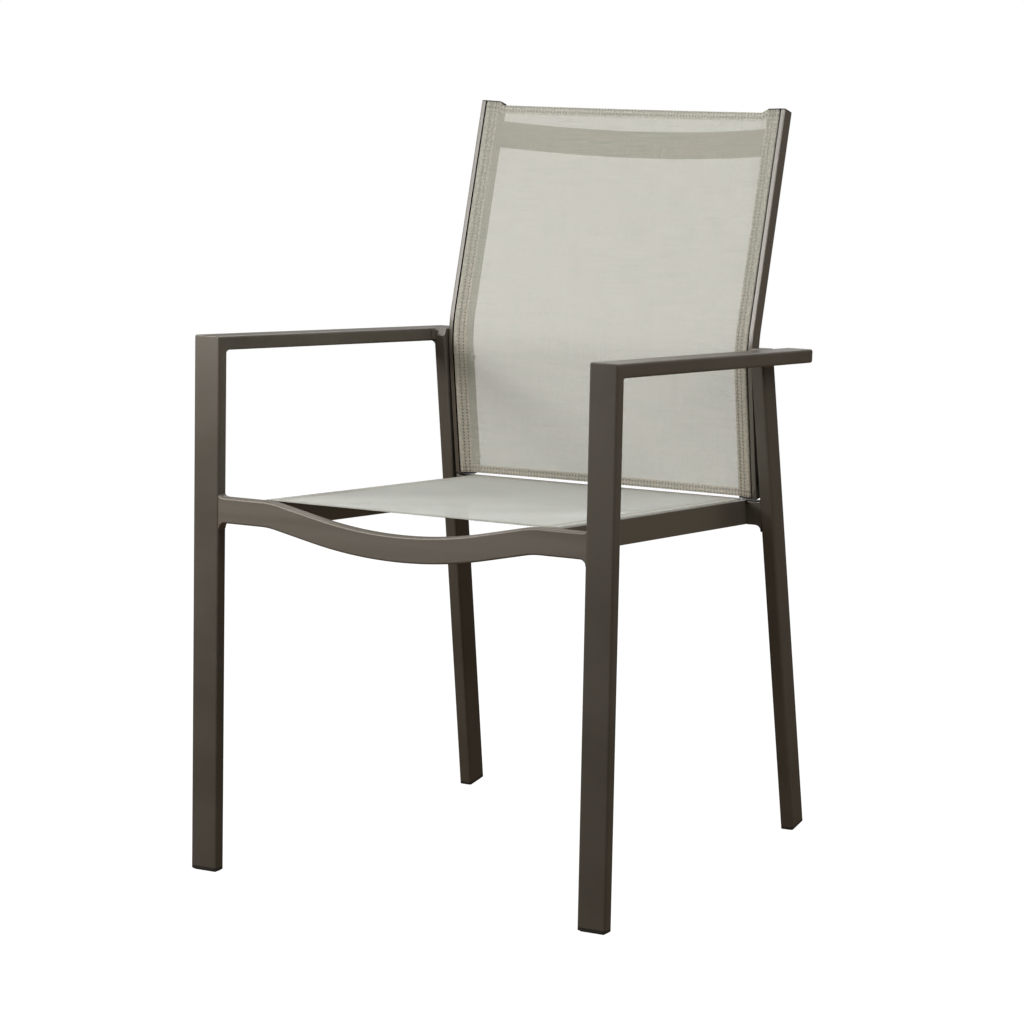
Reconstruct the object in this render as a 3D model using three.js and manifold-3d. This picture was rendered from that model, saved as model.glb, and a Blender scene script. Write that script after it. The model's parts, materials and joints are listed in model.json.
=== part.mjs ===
// A stacking armchair for the patio: a welded frame of flat tube, with a seat sling and a back sling
// stretched between slotted rails. Millimetres. X runs to the right seen from the front, Y to the rear and
// Z up from the floor. Y is zero at the front of the legs until the whole chair is centred at the end.
// Every piece that comes in pairs is made for the right side, and mirrored for the left.
import * as THREE from "three";
import { mergeVertices } from "three/addons/utils/BufferGeometryUtils.js";
import Module from "manifold-3d";

const wasm = await Module();
wasm.setup();

// Driving dimensions of the frame
const degree = Math.PI / 180;
const frameWidth = 548;
const armHeight = 630;
const armLength = 537.5;
const armOverhang = 70.5;
const armSlope = 2.36 * degree;
const armToeIn = 1.2 * degree;
const tubeWide = 35;
const tubeThin = 16.5;
const tubeWall = 1.5;
const tubeCorner = 3;
const rearLegRake = 10.1 * degree;
const rearLegSplay = 1.1 * degree;
const legCapPlate = 1.5;

// Driving dimensions of the crossbars
const barTall = 30;
const barDeep = 15;
const barWall = 1.5;
const barCorner = 2.5;
const frontBarHeight = 443.8;
const frontBarInset = 1;
const frontBarDip = 24.5;
const dipAngle = 12 * degree;
const dipRadius = 530;
const shoulderRadius = 100;
const rearBarInset = 4;

// Driving dimensions of the seat
const seatRailInset = 44;
const seatRailWidth = 24;
const seatRailDepth = 30;
const seatFaceFall = 0.3;
const seatRailDrop = 1.8;
const seatFall = 21;
const seatClothFrontGap = 9;
const seatClothRearGap = 1.5;
const seatSag = 5;

// Driving dimensions of the back
const backRailWidth = 25.5;
const backRailDepth = 20;
const backFaceFall = 3;
const backRailFootGap = 0.6;
const backBendDrop = 22;
const backBendSetback = 6.5;
const backLowerLean = 8.4 * degree;
const backUpperLean = 15.2 * degree;
const backBendRadius = 140;
const backUpperLength = 298;
const backClothTopGap = 2.5;
const backClothBottomGap = 1.5;
const backEdgeSag = 2.5;
const backSag = 7;
const backBarTall = 32;
const backBarDeep = 14;
const backBarBow = 34;
const backBarDrop = 23;
const backBarInset = 5;

// Rail extrusion, shared by seat and back
const railWall = 1.6;
const railCorner = 1;
const railLip = 5.5;
const slotWidth = 2.5;
const channelRadius = 3.2;
const channelDepth = 5.6;
const faceCorner = 5;
const clothThickness = 1;
const cordRadius = 2.4;

// Plastic parts and fasteners
const plugFlange = 2;
const plugLength = 16;
const plugWall = 2;
const plugBevel = 0.6;
const railPlugLength = 12;
const glideFlange = 4;
const glideBevel = 1.5;
const glidePadInset = 3;
const glidePadHeight = 1.2;
const glideBite = 0.8;
const boltRadius = 2.5;
const boltHeadRadius = 4.75;
const boltHeadHeight = 2.75;
const boltUpperDrop = 36;
const boltLowerRise = 21.5;
const insertRadius = 4.5;
const insertLength = 10;
const insertBulgeRadius = 5.5;
const insertBulgeLength = 2;
const spacerRadius = 7;

// Clearances
const weldGap = 0.3;
const seatGap = 0.3;
const plugClearance = 0.2;
const boltClearance = 0.2;
const overrun = 20;

// Finishes
const frameFinish = { color: 0x5a5249, roughness: 0.5, metalness: 0.35 };
const plasticFinish = { color: 0x1f1d1b, roughness: 0.6, metalness: 0 };
const steelFinish = { color: 0x9b9a96, roughness: 0.35, metalness: 0.9 };
const backClothFinish = { color: 0xc3c1b4, roughness: 0.9, metalness: 0 };
const seatClothFinish = { color: 0xb0b3ac, roughness: 0.9, metalness: 0 };
const cordFinish = { color: 0xe4e2da, roughness: 0.7, metalness: 0 };

// Counts of facets
const cornerFacets = 1;
const channelFacets = 10;
const rodFacets = 10;
const turnedFacets = 16;
const domeFacets = 4;
const bendFacets = 6;
const dipFacets = 4;
const shoulderFacets = 2;
const bowFacets = 10;
const clothColumns = 5;
const clothRows = 10;

const X = new THREE.Vector3(1, 0, 0);
const Y = new THREE.Vector3(0, 1, 0);
const Z = new THREE.Vector3(0, 0, 1);
const backwards = Y.clone().negate();
const downwards = Z.clone().negate();

// Joining and cutting closed geometries

function solid(geometry) {
  const bare = new THREE.BufferGeometry();
  const source = geometry.index ? geometry.toNonIndexed() : geometry;
  bare.setAttribute("position", source.getAttribute("position").clone());
  const merged = mergeVertices(bare);
  const vertProperties = merged.getAttribute("position").array;
  const triVerts = new Uint32Array(merged.index.array);
  return new wasm.Manifold(new wasm.Mesh({ numProp: 3, vertProperties, triVerts }));
}

function geometryOf(manifold) {
  const { vertProperties, triVerts } = manifold.getMesh();
  const geometry = new THREE.BufferGeometry();
  geometry.setAttribute("position", new THREE.BufferAttribute(new Float32Array(vertProperties), 3));
  geometry.setIndex(new THREE.BufferAttribute(new Uint32Array(triVerts), 1));
  geometry.computeVertexNormals();
  return geometry;
}

function cut(geometry, ...tools) {
  return geometryOf(tools.reduce((body, tool) => body.subtract(solid(tool)), solid(geometry)));
}

function join(...geometries) {
  return geometryOf(geometries.map(solid).reduce((body, next) => body.add(next)));
}

function moved(geometry, matrix) {
  return geometry.clone().applyMatrix4(matrix);
}

// Placing: a piece's own Z runs along it, and its own X along its wide side

function frameAlong(start, along, wide) {
  const z = along.clone().normalize();
  const x = wide.clone().addScaledVector(z, -wide.dot(z)).normalize();
  const y = new THREE.Vector3().crossVectors(z, x);
  return new THREE.Matrix4().makeBasis(x, y, z).setPosition(start);
}

function meshOf(name, geometry, finish, placement = new THREE.Matrix4()) {
  const mesh = new THREE.Mesh(geometry, new THREE.MeshStandardMaterial(finish));
  mesh.name = name;
  placement.decompose(mesh.position, mesh.quaternion, mesh.scale);
  return mesh;
}

// A box that fills all that lies on one side of a plane, as a cutting tool
function halfSpace(point, normal) {
  const reach = frameWidth + armHeight;
  const side = Math.abs(normal.x) < Math.abs(normal.z) ? X : Z;
  const box = new THREE.BoxGeometry(2 * reach, 2 * reach, reach).translate(0, 0, reach / 2);
  return moved(box, frameAlong(point, normal, side));
}

// Sections of tube

function roundedRectangle(path, width, height, corner) {
  const right = width / 2 - corner;
  const top = height / 2 - corner;
  path.moveTo(right + corner, -top);
  path.lineTo(right + corner, top);
  path.absarc(right, top, corner, 0, Math.PI / 2);
  path.lineTo(-right, top + corner);
  path.absarc(-right, top, corner, Math.PI / 2, Math.PI);
  path.lineTo(-right - corner, -top);
  path.absarc(-right, -top, corner, Math.PI, 1.5 * Math.PI);
  path.lineTo(right, -top - corner);
  path.absarc(right, -top, corner, 1.5 * Math.PI, 2 * Math.PI);
  return path;
}

function tubeSection(width, height, corner, wall) {
  const section = roundedRectangle(new THREE.Shape(), width, height, corner);
  const bore = [width - 2 * wall, height - 2 * wall, corner - wall];
  section.holes.push(roundedRectangle(new THREE.Path(), ...bore));
  return section;
}

function extrude(section, length) {
  const options = { depth: length, bevelEnabled: false, curveSegments: cornerFacets };
  return new THREE.ExtrudeGeometry(section, options);
}

// Sections of rail. The origin is the rail's outer corner on the side of the cloth, x runs outwards and y
// into the rail. The cloth comes out of the slot beside the lip, and the face falls away from it inwards.

const slotCentre = -railLip - slotWidth / 2;
const chamberStart = channelDepth + channelRadius + railWall;
const seatProfile = { width: seatRailWidth, depth: seatRailDepth, faceFall: seatFaceFall };
const backProfile = { width: backRailWidth, depth: backRailDepth, faceFall: backFaceFall };

function railOutline({ width, depth, faceFall }, slotted) {
  const outline = new THREE.Shape();
  outline.moveTo(0, railCorner);
  outline.absarc(-railCorner, railCorner, railCorner, 0, -Math.PI / 2, true);
  outline.lineTo(-railLip, 0);
  if (slotted) addChannel(outline);
  outline.lineTo(-railLip - slotWidth, 0);
  outline.lineTo(-width + faceCorner, faceFall);
  outline.absarc(-width + faceCorner, faceFall + faceCorner, faceCorner, -Math.PI / 2, -Math.PI, true);
  outline.lineTo(-width, depth - railCorner);
  outline.absarc(-width + railCorner, depth - railCorner, railCorner, Math.PI, Math.PI / 2, true);
  outline.lineTo(-railCorner, depth);
  outline.absarc(-railCorner, depth - railCorner, railCorner, Math.PI / 2, 0, true);
  return outline;
}

// The round channel for the edge cord, entered through the slot
function addChannel(outline) {
  const mouth = Math.asin(slotWidth / 2 / channelRadius);
  const start = mouth - Math.PI / 2;
  const turn = 2 * (Math.PI - mouth);
  for (let i = 0; i <= channelFacets; i++) {
    const angle = start + (turn * i) / channelFacets;
    const x = slotCentre + channelRadius * Math.cos(angle);
    outline.lineTo(x, channelDepth + channelRadius * Math.sin(angle));
  }
}

// The hollow chamber beside and behind the channel, drawn in by a clearance for what is pushed into it
function railChamber({ width, depth, faceFall }, clearance = 0) {
  const wall = railWall + clearance;
  const web = slotCentre - channelRadius - wall;
  return new THREE.Shape([
    new THREE.Vector2(-width + wall, faceFall + faceCorner),
    new THREE.Vector2(-width + faceCorner, faceFall + wall),
    new THREE.Vector2(web, faceFall + wall),
    new THREE.Vector2(web, chamberStart + clearance),
    new THREE.Vector2(-wall, chamberStart + clearance),
    new THREE.Vector2(-wall, depth - wall),
    new THREE.Vector2(-width + wall, depth - wall),
  ]);
}

function railSection(rail) {
  const section = railOutline(rail, true);
  section.holes.push(railChamber(rail));
  return section;
}

function cordSection() {
  return new THREE.Shape().absarc(slotCentre, channelDepth, cordRadius, 0, 2 * Math.PI);
}

// The cloth from one cord over both rails to the other cord. x is zero in the middle of the chair.
function clothSection(outer, { width, faceFall }) {
  const lift = -seatGap - clothThickness / 2;
  const mouth = outer + slotCentre;
  const edge = outer - width + faceCorner;
  const half = [];
  for (let i = 0; i <= clothColumns; i++) {
    half.push(new THREE.Vector2((edge * i) / clothColumns, faceFall + lift));
  }
  half.push(new THREE.Vector2(mouth - 1.5 * slotWidth, lift));
  half.push(new THREE.Vector2(mouth - slotWidth / 4, lift));
  half.push(new THREE.Vector2(mouth, 0));
  half.push(new THREE.Vector2(mouth, channelDepth - cordRadius - seatGap));
  const mirrored = half.slice(1).map((point) => new THREE.Vector2(-point.x, point.y));
  return ribbon([...mirrored.reverse(), ...half], clothThickness);
}

// A strip of even thickness along a line of points
function ribbon(points, thickness) {
  const upper = [];
  const lower = [];
  points.forEach((point, i) => {
    const before = points[Math.max(i - 1, 0)];
    const after = points[Math.min(i + 1, points.length - 1)];
    const along = after.clone().sub(before).normalize();
    const normal = new THREE.Vector2(-along.y, along.x);
    upper.push(point.clone().addScaledVector(normal, thickness / 2));
    lower.unshift(point.clone().addScaledVector(normal, -thickness / 2));
  });
  return new THREE.Shape([...upper, ...lower]);
}

// Sweeping: each layer of a straight extrusion is laid on a station, which has a place and two axes.
// hang(x, share) moves a point along the second axis, share being the station's share of the way.

function sweep(section, stations, facets = cornerFacets, hang = () => 0) {
  const steps = stations.length - 1;
  const options = { depth: steps, steps, bevelEnabled: false, curveSegments: facets };
  const geometry = new THREE.ExtrudeGeometry(section, options);
  const way = stations.map((station, i) => (i ? station.at.distanceTo(stations[i - 1].at) : 0));
  for (let i = 1; i <= steps; i++) way[i] += way[i - 1];
  const position = geometry.getAttribute("position");
  for (let i = 0; i < position.count; i++) {
    const layer = Math.round(position.getZ(i));
    const { at, across, deep } = stations[layer];
    const x = position.getX(i);
    const y = position.getY(i) + hang(x, way[layer] / way[steps]);
    const point = at.clone().addScaledVector(across, x).addScaledVector(deep, y);
    position.setXYZ(i, point.x, point.y, point.z);
  }
  geometry.computeVertexNormals();
  return geometry;
}

// Adds stations on the straight stretches, so that none of them is longer than a step
function subdivided(stations, step) {
  const fine = [stations[0]];
  for (let i = 1; i < stations.length; i++) {
    const from = stations[i - 1];
    const count = Math.ceil(from.at.distanceTo(stations[i].at) / step);
    for (let k = 1; k < count; k++) {
      const at = from.at.clone().lerp(stations[i].at, k / count);
      fine.push({ ...from, at });
    }
    fine.push(stations[i]);
  }
  return fine;
}

// Cloth between two rails hangs most in the middle, and at its free edges by an amount of their own
function hanging(edgeSag, middleSag, inner) {
  return (x, share) => {
    const across = Math.max(1 - (x / inner) ** 2, 0);
    return across * (edgeSag + (middleSag - edgeSag) * 4 * share * (1 - share));
  };
}

// Lines of the frame: the armrest's top falls to the rear and its centre line runs inwards, and the rear
// leg stands just inside the armrest, raked and splayed

const frontLegInner = frameWidth / 2 - tubeWide;
const armDrop = tubeThin / 2 / Math.cos(armSlope);
const armTop = (y) => armHeight - Math.tan(armSlope) * y;
const armCentre = (y) => frameWidth / 2 - tubeWide / 2 - Math.tan(armToeIn) * y;
const armMiddle = (y) => new THREE.Vector3(armCentre(y), y, armTop(y) - armDrop);
const armAlong = new THREE.Vector3(-Math.tan(armToeIn), 1, -Math.tan(armSlope)).normalize();
const armNormal = new THREE.Vector3(0, Math.sin(armSlope), Math.cos(armSlope));

const rearLegHalf = tubeWide / 2 / Math.cos(rearLegRake);
const rearLegTopY = armLength - armOverhang + rearLegHalf;
const rearLegOut = armCentre(rearLegTopY) - tubeWide / 2 - weldGap - tubeThin * Math.tan(rearLegSplay);
const rearLegTop = new THREE.Vector3(rearLegOut - tubeThin / 2, rearLegTopY, armTop(rearLegTopY));
const rearLegDown = new THREE.Vector3(Math.tan(rearLegSplay), Math.tan(rearLegRake), -1);
const rearLegAlong = rearLegDown.clone().normalize().negate();

function rearLegAt(height) {
  return rearLegTop.clone().addScaledVector(rearLegDown, rearLegTop.z - height);
}

// The height of the rear leg's lower end, whose glide stands on its front edge
const rearLegEnd = (tubeWide / 2) * Math.sin(rearLegRake) - glideBite + glideFlange;
const rearLegInner = (height) => rearLegAt(height).x - tubeThin / 2;
const rearLegFront = (height) => rearLegAt(height).y - rearLegHalf;

// Lines of the seat: the rails run from the front crossbar down to the rear one

const seatRailOuter = frontLegInner - seatRailInset;
const seatFrontHeight = frontBarHeight - seatRailDrop;
const rearBarHeight = seatFrontHeight - seatFall;
const rearBarFront = rearLegFront(rearBarHeight - barTall / 2) + rearBarInset;
const seatFront = new THREE.Vector3(seatRailOuter, frontBarInset + barDeep + weldGap, seatFrontHeight);
const seatRear = new THREE.Vector3(seatRailOuter, rearBarFront - weldGap, rearBarHeight);
const seatAlong = seatRear.clone().sub(seatFront).normalize();
const seatDeep = new THREE.Vector3().crossVectors(seatAlong, X);

// A station of the seat rail, its distance counted from the front end, or from the rear end backwards
function seatStation(end, distance, x = seatRailOuter) {
  return { at: end.clone().addScaledVector(seatAlong, distance).setX(x), across: X, deep: seatDeep };
}

// Lines of the back: the rail's outer corner on the side of the cloth is straight, bent once and straight

const backRailOuter = rearLegInner(rearLegTop.z) - weldGap;
const backRailInner = backRailOuter - backRailWidth;
const backBendHeight = armHeight - backBendDrop;
const backBend = new THREE.Vector3(0, rearLegFront(backBendHeight) + backBendSetback, backBendHeight);

// A point of the rail's face line, with the axes of the section for its lean to the rear
function backStation(point, lean, x) {
  return {
    at: point.clone().setX(x),
    across: X,
    deep: new THREE.Vector3(0, Math.cos(lean), -Math.sin(lean)),
    along: new THREE.Vector3(0, Math.sin(lean), Math.cos(lean)),
  };
}

const backLow = backStation(backBend, -backLowerLean, backRailOuter);
const backHigh = backStation(backBend, backUpperLean, backRailOuter);

function backLowAt(height) {
  return backLow.at.clone().addScaledVector(backLow.along, (height - backBendHeight) / backLow.along.z);
}

// The rails stand just clear of the seat's cloth, with a cap between
const seatShare = (backLowAt(rearBarHeight).y - seatFront.y) / (seatRear.y - seatFront.y);
const seatSurface = seatFront.clone().lerp(seatRear, seatShare).z + seatGap + clothThickness;
const backFootHeight = seatSurface + backRailFootGap;
const backLowerLength = (backBendHeight - backFootHeight) / backLow.along.z - plugFlange - seatGap;

// Stations from a distance below the bend to a distance above it
function backStations(below, above, x = backRailOuter) {
  const low = backStation(backBend, -backLowerLean, x);
  const high = backStation(backBend, backUpperLean, x);
  const turn = backLowerLean + backUpperLean;
  const bendStart = low.at.clone().addScaledVector(low.along, -backBendRadius * Math.tan(turn / 2));
  const centre = bendStart.addScaledVector(low.deep, backBendRadius);
  const stations = [{ ...low, at: low.at.clone().addScaledVector(low.along, -below) }];
  for (let i = 0; i <= bendFacets; i++) {
    const station = backStation(centre, (turn * i) / bendFacets - backLowerLean, x);
    station.at.addScaledVector(station.deep, -backBendRadius);
    stations.push(station);
  }
  stations.push({ ...high, at: high.at.clone().addScaledVector(high.along, above) });
  return stations;
}

// Bolts of the back: both heights, and the frame of a bolt with its origin on a plane across the chair

const boltDepth = chamberStart + boltRadius + boltClearance;
const boltHeights = {
  upper: backBendHeight - boltUpperDrop,
  lower: backFootHeight + boltLowerRise,
};

function boltFrame(level, x) {
  const centre = backLowAt(boltHeights[level]).addScaledVector(backLow.deep, boltDepth);
  return frameAlong(centre.setX(x), X, Y);
}

// A straight hole for a bolt or an insert, over all the width between two planes across the chair
function drill(level, radius, from, to) {
  const cylinder = new THREE.CylinderGeometry(radius, radius, to - from, turnedFacets).rotateX(Math.PI / 2);
  return moved(cylinder, boltFrame(level, (from + to) / 2));
}

// Frame tubes

function frontLeg(side) {
  const start = new THREE.Vector3(frameWidth / 2 - tubeWide / 2, tubeThin / 2, glideFlange + glidePadHeight);
  const placement = frameAlong(start, Z, X);
  const length = armHeight - start.z + overrun;
  const tube = extrude(tubeSection(tubeWide, tubeThin, tubeCorner, tubeWall), length);
  const beyond = moved(mitre(-1), placement.clone().invert());
  return meshOf(`front_leg_${side}`, cut(tube, beyond), frameFinish, placement);
}

function armrest(side) {
  const placement = frameAlong(armMiddle(-overrun), armAlong, X);
  const length = (armLength + overrun) / armAlong.y;
  const tube = extrude(tubeSection(tubeWide, tubeThin, tubeCorner, tubeWall), length);
  const beyond = moved(mitre(1), placement.clone().invert());
  return meshOf(`armrest_${side}`, cut(tube, beyond), frameFinish, placement);
}

// All that lies beyond the mitre of front leg and armrest: above it for the leg (-1), and below it for the
// armrest (1), with half of the weld's gap
function mitre(direction) {
  const outer = new THREE.Vector3(0, 0, armHeight);
  const inner = new THREE.Vector3(0, tubeThin, armTop(tubeThin) - 2 * armDrop);
  const normal = new THREE.Vector3().crossVectors(inner.sub(outer), X).normalize().multiplyScalar(direction);
  return halfSpace(outer.addScaledVector(normal, -weldGap / 2), normal);
}

function rearLeg(side) {
  const { tube, placement } = rearLegTube(tubeSection(tubeWide, tubeThin, tubeCorner, tubeWall));
  const above = halfSpace(underArmTop(legCapPlate + weldGap), armNormal);
  const holes = Object.keys(boltHeights).map((level) => {
    const face = rearLegInner(boltHeights[level]);
    return drill(level, insertRadius + boltClearance, face - overrun, face + tubeThin / 2);
  });
  const tools = [above, ...holes].map((tool) => moved(tool, placement.clone().invert()));
  return meshOf(`rear_leg_${side}`, cut(tube, ...tools), frameFinish, placement);
}

// The plate that closes the top of the rear leg, level with the armrest
function rearLegCap(side) {
  const plate = roundedRectangle(new THREE.Shape(), tubeWide, tubeThin, tubeCorner);
  const { tube, placement } = rearLegTube(plate);
  const above = halfSpace(underArmTop(0), armNormal);
  const below = halfSpace(underArmTop(legCapPlate), armNormal.clone().negate());
  const tools = [above, below].map((tool) => moved(tool, placement.clone().invert()));
  return meshOf(`rear_leg_cap_${side}`, cut(tube, ...tools), frameFinish, placement);
}

function underArmTop(depth) {
  return rearLegTop.clone().addScaledVector(armNormal, -depth);
}

// The rear leg's own X follows the armrest, so that their faces meet flat
function rearLegTube(section) {
  const placement = frameAlong(rearLegAt(rearLegEnd), rearLegAlong, armAlong);
  const length = rearLegTop.z - rearLegEnd + overrun;
  return { tube: extrude(section, length / rearLegAlong.z), placement };
}

// Crossbars

// Down round a shoulder from each leg, and along a wide bow in the middle
function frontCrossbar() {
  const fall = (dipRadius + shoulderRadius) * (1 - Math.cos(dipAngle));
  const ramp = (frontBarDip - fall) / Math.tan(dipAngle);
  const shoulderX = ramp + (dipRadius + shoulderRadius) * Math.sin(dipAngle);
  const points = [];
  for (let i = 0; i <= dipFacets; i++) {
    const angle = (dipAngle * i) / dipFacets;
    const drop = frontBarDip - dipRadius * (1 - Math.cos(angle));
    points.push({ x: dipRadius * Math.sin(angle), drop, angle });
  }
  for (let i = shoulderFacets; i >= 0; i--) {
    const angle = (dipAngle * i) / shoulderFacets;
    const drop = shoulderRadius * (1 - Math.cos(angle));
    points.push({ x: shoulderX - shoulderRadius * Math.sin(angle), drop, angle });
  }
  points.push({ x: frontLegInner - weldGap, drop: 0, angle: 0 });
  const left = points.slice(1).map(({ x, drop, angle }) => ({ x: -x, drop, angle: -angle }));
  const stations = [...left.reverse(), ...points].map(({ x, drop, angle }) => ({
    at: new THREE.Vector3(x, frontBarInset + barDeep / 2, frontBarHeight - barTall / 2 - drop),
    across: new THREE.Vector3(-Math.sin(angle), 0, Math.cos(angle)),
    deep: backwards,
  }));
  const section = tubeSection(barTall, barDeep, barCorner, barWall);
  return meshOf("front_crossbar", sweep(section, stations), frameFinish);
}

function rearCrossbar() {
  const half = rearLegInner(rearBarHeight) - 2 * weldGap;
  const start = new THREE.Vector3(-half, rearBarFront + barDeep / 2, rearBarHeight - barTall / 2);
  const tube = extrude(tubeSection(barTall, barDeep, barCorner, barWall), 2 * half);
  return meshOf("rear_crossbar", tube, frameFinish, frameAlong(start, X, Z));
}

// The tube between the back rails is bowed to the rear, away from the cloth
function backCrossbar() {
  const half = backRailInner - weldGap;
  const radius = (half ** 2 + backBarBow ** 2) / (2 * backBarBow);
  const reach = Math.asin(half / radius) + backBarDeep / radius;
  const level = backUpperLength - backBarDrop - backBarTall / 2;
  const centre = backHigh.at.clone().setX(0).addScaledVector(backHigh.along, level);
  centre.addScaledVector(backHigh.deep, backBarInset + backBarDeep / 2 + backBarBow - radius);
  const stations = [];
  for (let i = 0; i <= bowFacets; i++) {
    const angle = reach * ((2 * i) / bowFacets - 1);
    const outwards = backHigh.deep.clone().applyAxisAngle(backHigh.along, -angle);
    const at = centre.clone().addScaledVector(outwards, radius);
    stations.push({ at, across: backHigh.along, deep: outwards.negate() });
  }
  const bar = sweep(tubeSection(backBarTall, backBarDeep, barCorner, barWall), stations);
  const ends = [1, -1].map((way) => {
    return halfSpace(new THREE.Vector3(way * half, 0, 0), X.clone().multiplyScalar(way));
  });
  return meshOf("back_crossbar", cut(bar, ...ends), frameFinish);
}

// Seat

function seatRail(side) {
  const stations = [seatStation(seatFront, -overrun), seatStation(seatRear, overrun)];
  const rail = sweep(railSection(seatProfile), stations);
  const ends = [halfSpace(seatFront, backwards), halfSpace(seatRear, Y)];
  return meshOf(`seat_rail_${side}`, cut(rail, ...ends), frameFinish);
}

function seatCord(side) {
  const stations = [seatStation(seatFront, seatClothFrontGap), seatStation(seatRear, -seatClothRearGap)];
  return meshOf(`seat_cord_${side}`, sweep(cordSection(), stations, rodFacets / 2), cordFinish);
}

function seatSling() {
  const ends = [seatStation(seatFront, seatClothFrontGap, 0), seatStation(seatRear, -seatClothRearGap, 0)];
  const stations = subdivided(ends, ends[0].at.distanceTo(ends[1].at) / clothRows);
  const hang = hanging(0, seatSag, seatRailOuter - seatRailWidth);
  const cloth = sweep(clothSection(seatRailOuter, seatProfile), stations, cornerFacets, hang);
  return meshOf("seat_sling", cloth, seatClothFinish);
}

// Back

function backRail(side) {
  const rail = sweep(railSection(backProfile), backStations(backLowerLength, backUpperLength));
  const holes = Object.keys(boltHeights).map((level) => {
    return drill(level, boltRadius + boltClearance, backRailInner - overrun, backRailOuter + overrun);
  });
  return meshOf(`back_rail_${side}`, cut(rail, ...holes), frameFinish);
}

// A cap's own Z runs up the rail, and its plate and plug lie on either side of the rail's end
function backCap(level, side) {
  const top = level === "top";
  const stations = backStations(backLowerLength, backUpperLength);
  const { at, across, deep, along } = stations.at(top ? -1 : 0);
  const plate = extrude(railOutline(backProfile, false), plugFlange);
  const plug = extrude(railChamber(backProfile, plugClearance), railPlugLength);
  plate.translate(0, 0, top ? seatGap : -plugFlange - seatGap);
  plug.translate(0, 0, top ? seatGap + plugFlange / 2 - railPlugLength : -plugFlange / 2 - seatGap);
  const placement = new THREE.Matrix4().makeBasis(across, deep, along).setPosition(at);
  return meshOf(`back_rail_${level}_cap_${side}`, join(plate, plug), plasticFinish, placement);
}

function backCord(side) {
  const stations = backStations(backLowerLength - backClothBottomGap, backUpperLength - backClothTopGap);
  return meshOf(`back_cord_${side}`, sweep(cordSection(), stations, rodFacets / 2), cordFinish);
}

function backSling() {
  const ends = backStations(backLowerLength - backClothBottomGap, backUpperLength - backClothTopGap, 0);
  const stations = subdivided(ends, (backLowerLength + backUpperLength) / clothRows);
  const hang = hanging(backEdgeSag, backSag, backRailInner);
  const cloth = sweep(clothSection(backRailOuter, backProfile), stations, cornerFacets, hang);
  return meshOf("back_sling", cloth, backClothFinish);
}

// Plugs: a flange as wide as the tube, and a hollow stub inside it

function roundedPlate(width, height, corner, thickness, bevel) {
  const section = roundedRectangle(new THREE.Shape(), width - 2 * bevel, height - 2 * bevel, corner - bevel);
  const options = { depth: thickness - 2 * bevel, curveSegments: cornerFacets };
  const edge = { bevelThickness: bevel, bevelSize: bevel, bevelSegments: 2 };
  return new THREE.ExtrudeGeometry(section, { ...options, ...edge }).translate(0, 0, bevel);
}

// The plug's own Z runs into the tube, whose end stands just above zero
function tubePlug(thickness, bevel) {
  const fit = tubeWall + plugClearance;
  const stubWidths = [tubeWide - 2 * fit, tubeThin - 2 * fit];
  const stubSection = tubeSection(...stubWidths, plugWall + plugClearance, plugWall);
  const stub = extrude(stubSection, plugLength + thickness / 2);
  const plate = roundedPlate(tubeWide, tubeThin, tubeCorner, thickness - seatGap, bevel);
  plate.translate(0, 0, -thickness);
  return join(plate, stub.translate(0, 0, -thickness / 2));
}

function armPlug(side) {
  const placement = frameAlong(armMiddle(armLength), armAlong.clone().negate(), X);
  return meshOf(`armrest_plug_${side}`, tubePlug(plugFlange, plugBevel), plasticFinish, placement);
}

function frontGlide(side) {
  const end = new THREE.Vector3(frameWidth / 2 - tubeWide / 2, tubeThin / 2, glideFlange + glidePadHeight);
  return glide(`front_glide_${side}`, frameAlong(end, Z, X));
}

function rearGlide(side) {
  return glide(`rear_glide_${side}`, frameAlong(rearLegAt(rearLegEnd), rearLegAlong, armAlong));
}

// A plug with a pad under it, cut flat at the floor
function glide(name, placement) {
  const padWidths = [tubeWide - 2 * glidePadInset, tubeThin - 2 * glidePadInset];
  const padSection = roundedRectangle(new THREE.Shape(), ...padWidths, tubeCorner);
  const pad = extrude(padSection, glidePadHeight + glideFlange / 2);
  pad.translate(0, 0, -glideFlange - glidePadHeight);
  const floor = moved(halfSpace(new THREE.Vector3(), downwards), placement.clone().invert());
  return meshOf(name, cut(join(tubePlug(glideFlange, glideBevel), pad), floor), plasticFinish, placement);
}

// Fasteners of the back, turned round their own Z

function turned(points) {
  const profile = points.map(([radius, z]) => new THREE.Vector2(radius, z));
  return new THREE.LatheGeometry(profile, turnedFacets).rotateX(Math.PI / 2);
}

// The domed head lies on the rail's inner face, and the shank ends in the insert
function bolt(level, side) {
  const length = rearLegInner(boltHeights[level]) + insertLength - backRailInner;
  const points = [];
  for (let i = 0; i <= domeFacets; i++) {
    const angle = (Math.PI / 2) * (i / domeFacets);
    points.push([boltHeadRadius * Math.sin(angle), -seatGap - boltHeadHeight * Math.cos(angle)]);
  }
  points.push([boltRadius, -seatGap], [boltRadius, length], [0, length]);
  return meshOf(`back_bolt_${level}_${side}`, turned(points), steelFinish, boltFrame(level, backRailInner));
}

// A threaded insert through the leg's inner wall, upset behind it
function insert(level, side) {
  const bore = boltRadius + boltClearance;
  const bulge = tubeWall + 2 * seatGap;
  const points = [
    [bore, 0],
    [insertRadius, 0],
    [insertRadius, bulge],
    [insertBulgeRadius, bulge],
    [insertBulgeRadius, bulge + insertBulgeLength],
    [insertRadius, bulge + insertBulgeLength],
    [insertRadius, insertLength],
    [bore, insertLength],
    [bore, 0],
  ];
  const placement = boltFrame(level, rearLegInner(boltHeights[level]));
  return meshOf(`threaded_insert_${level}_${side}`, turned(points), steelFinish, placement);
}

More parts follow.
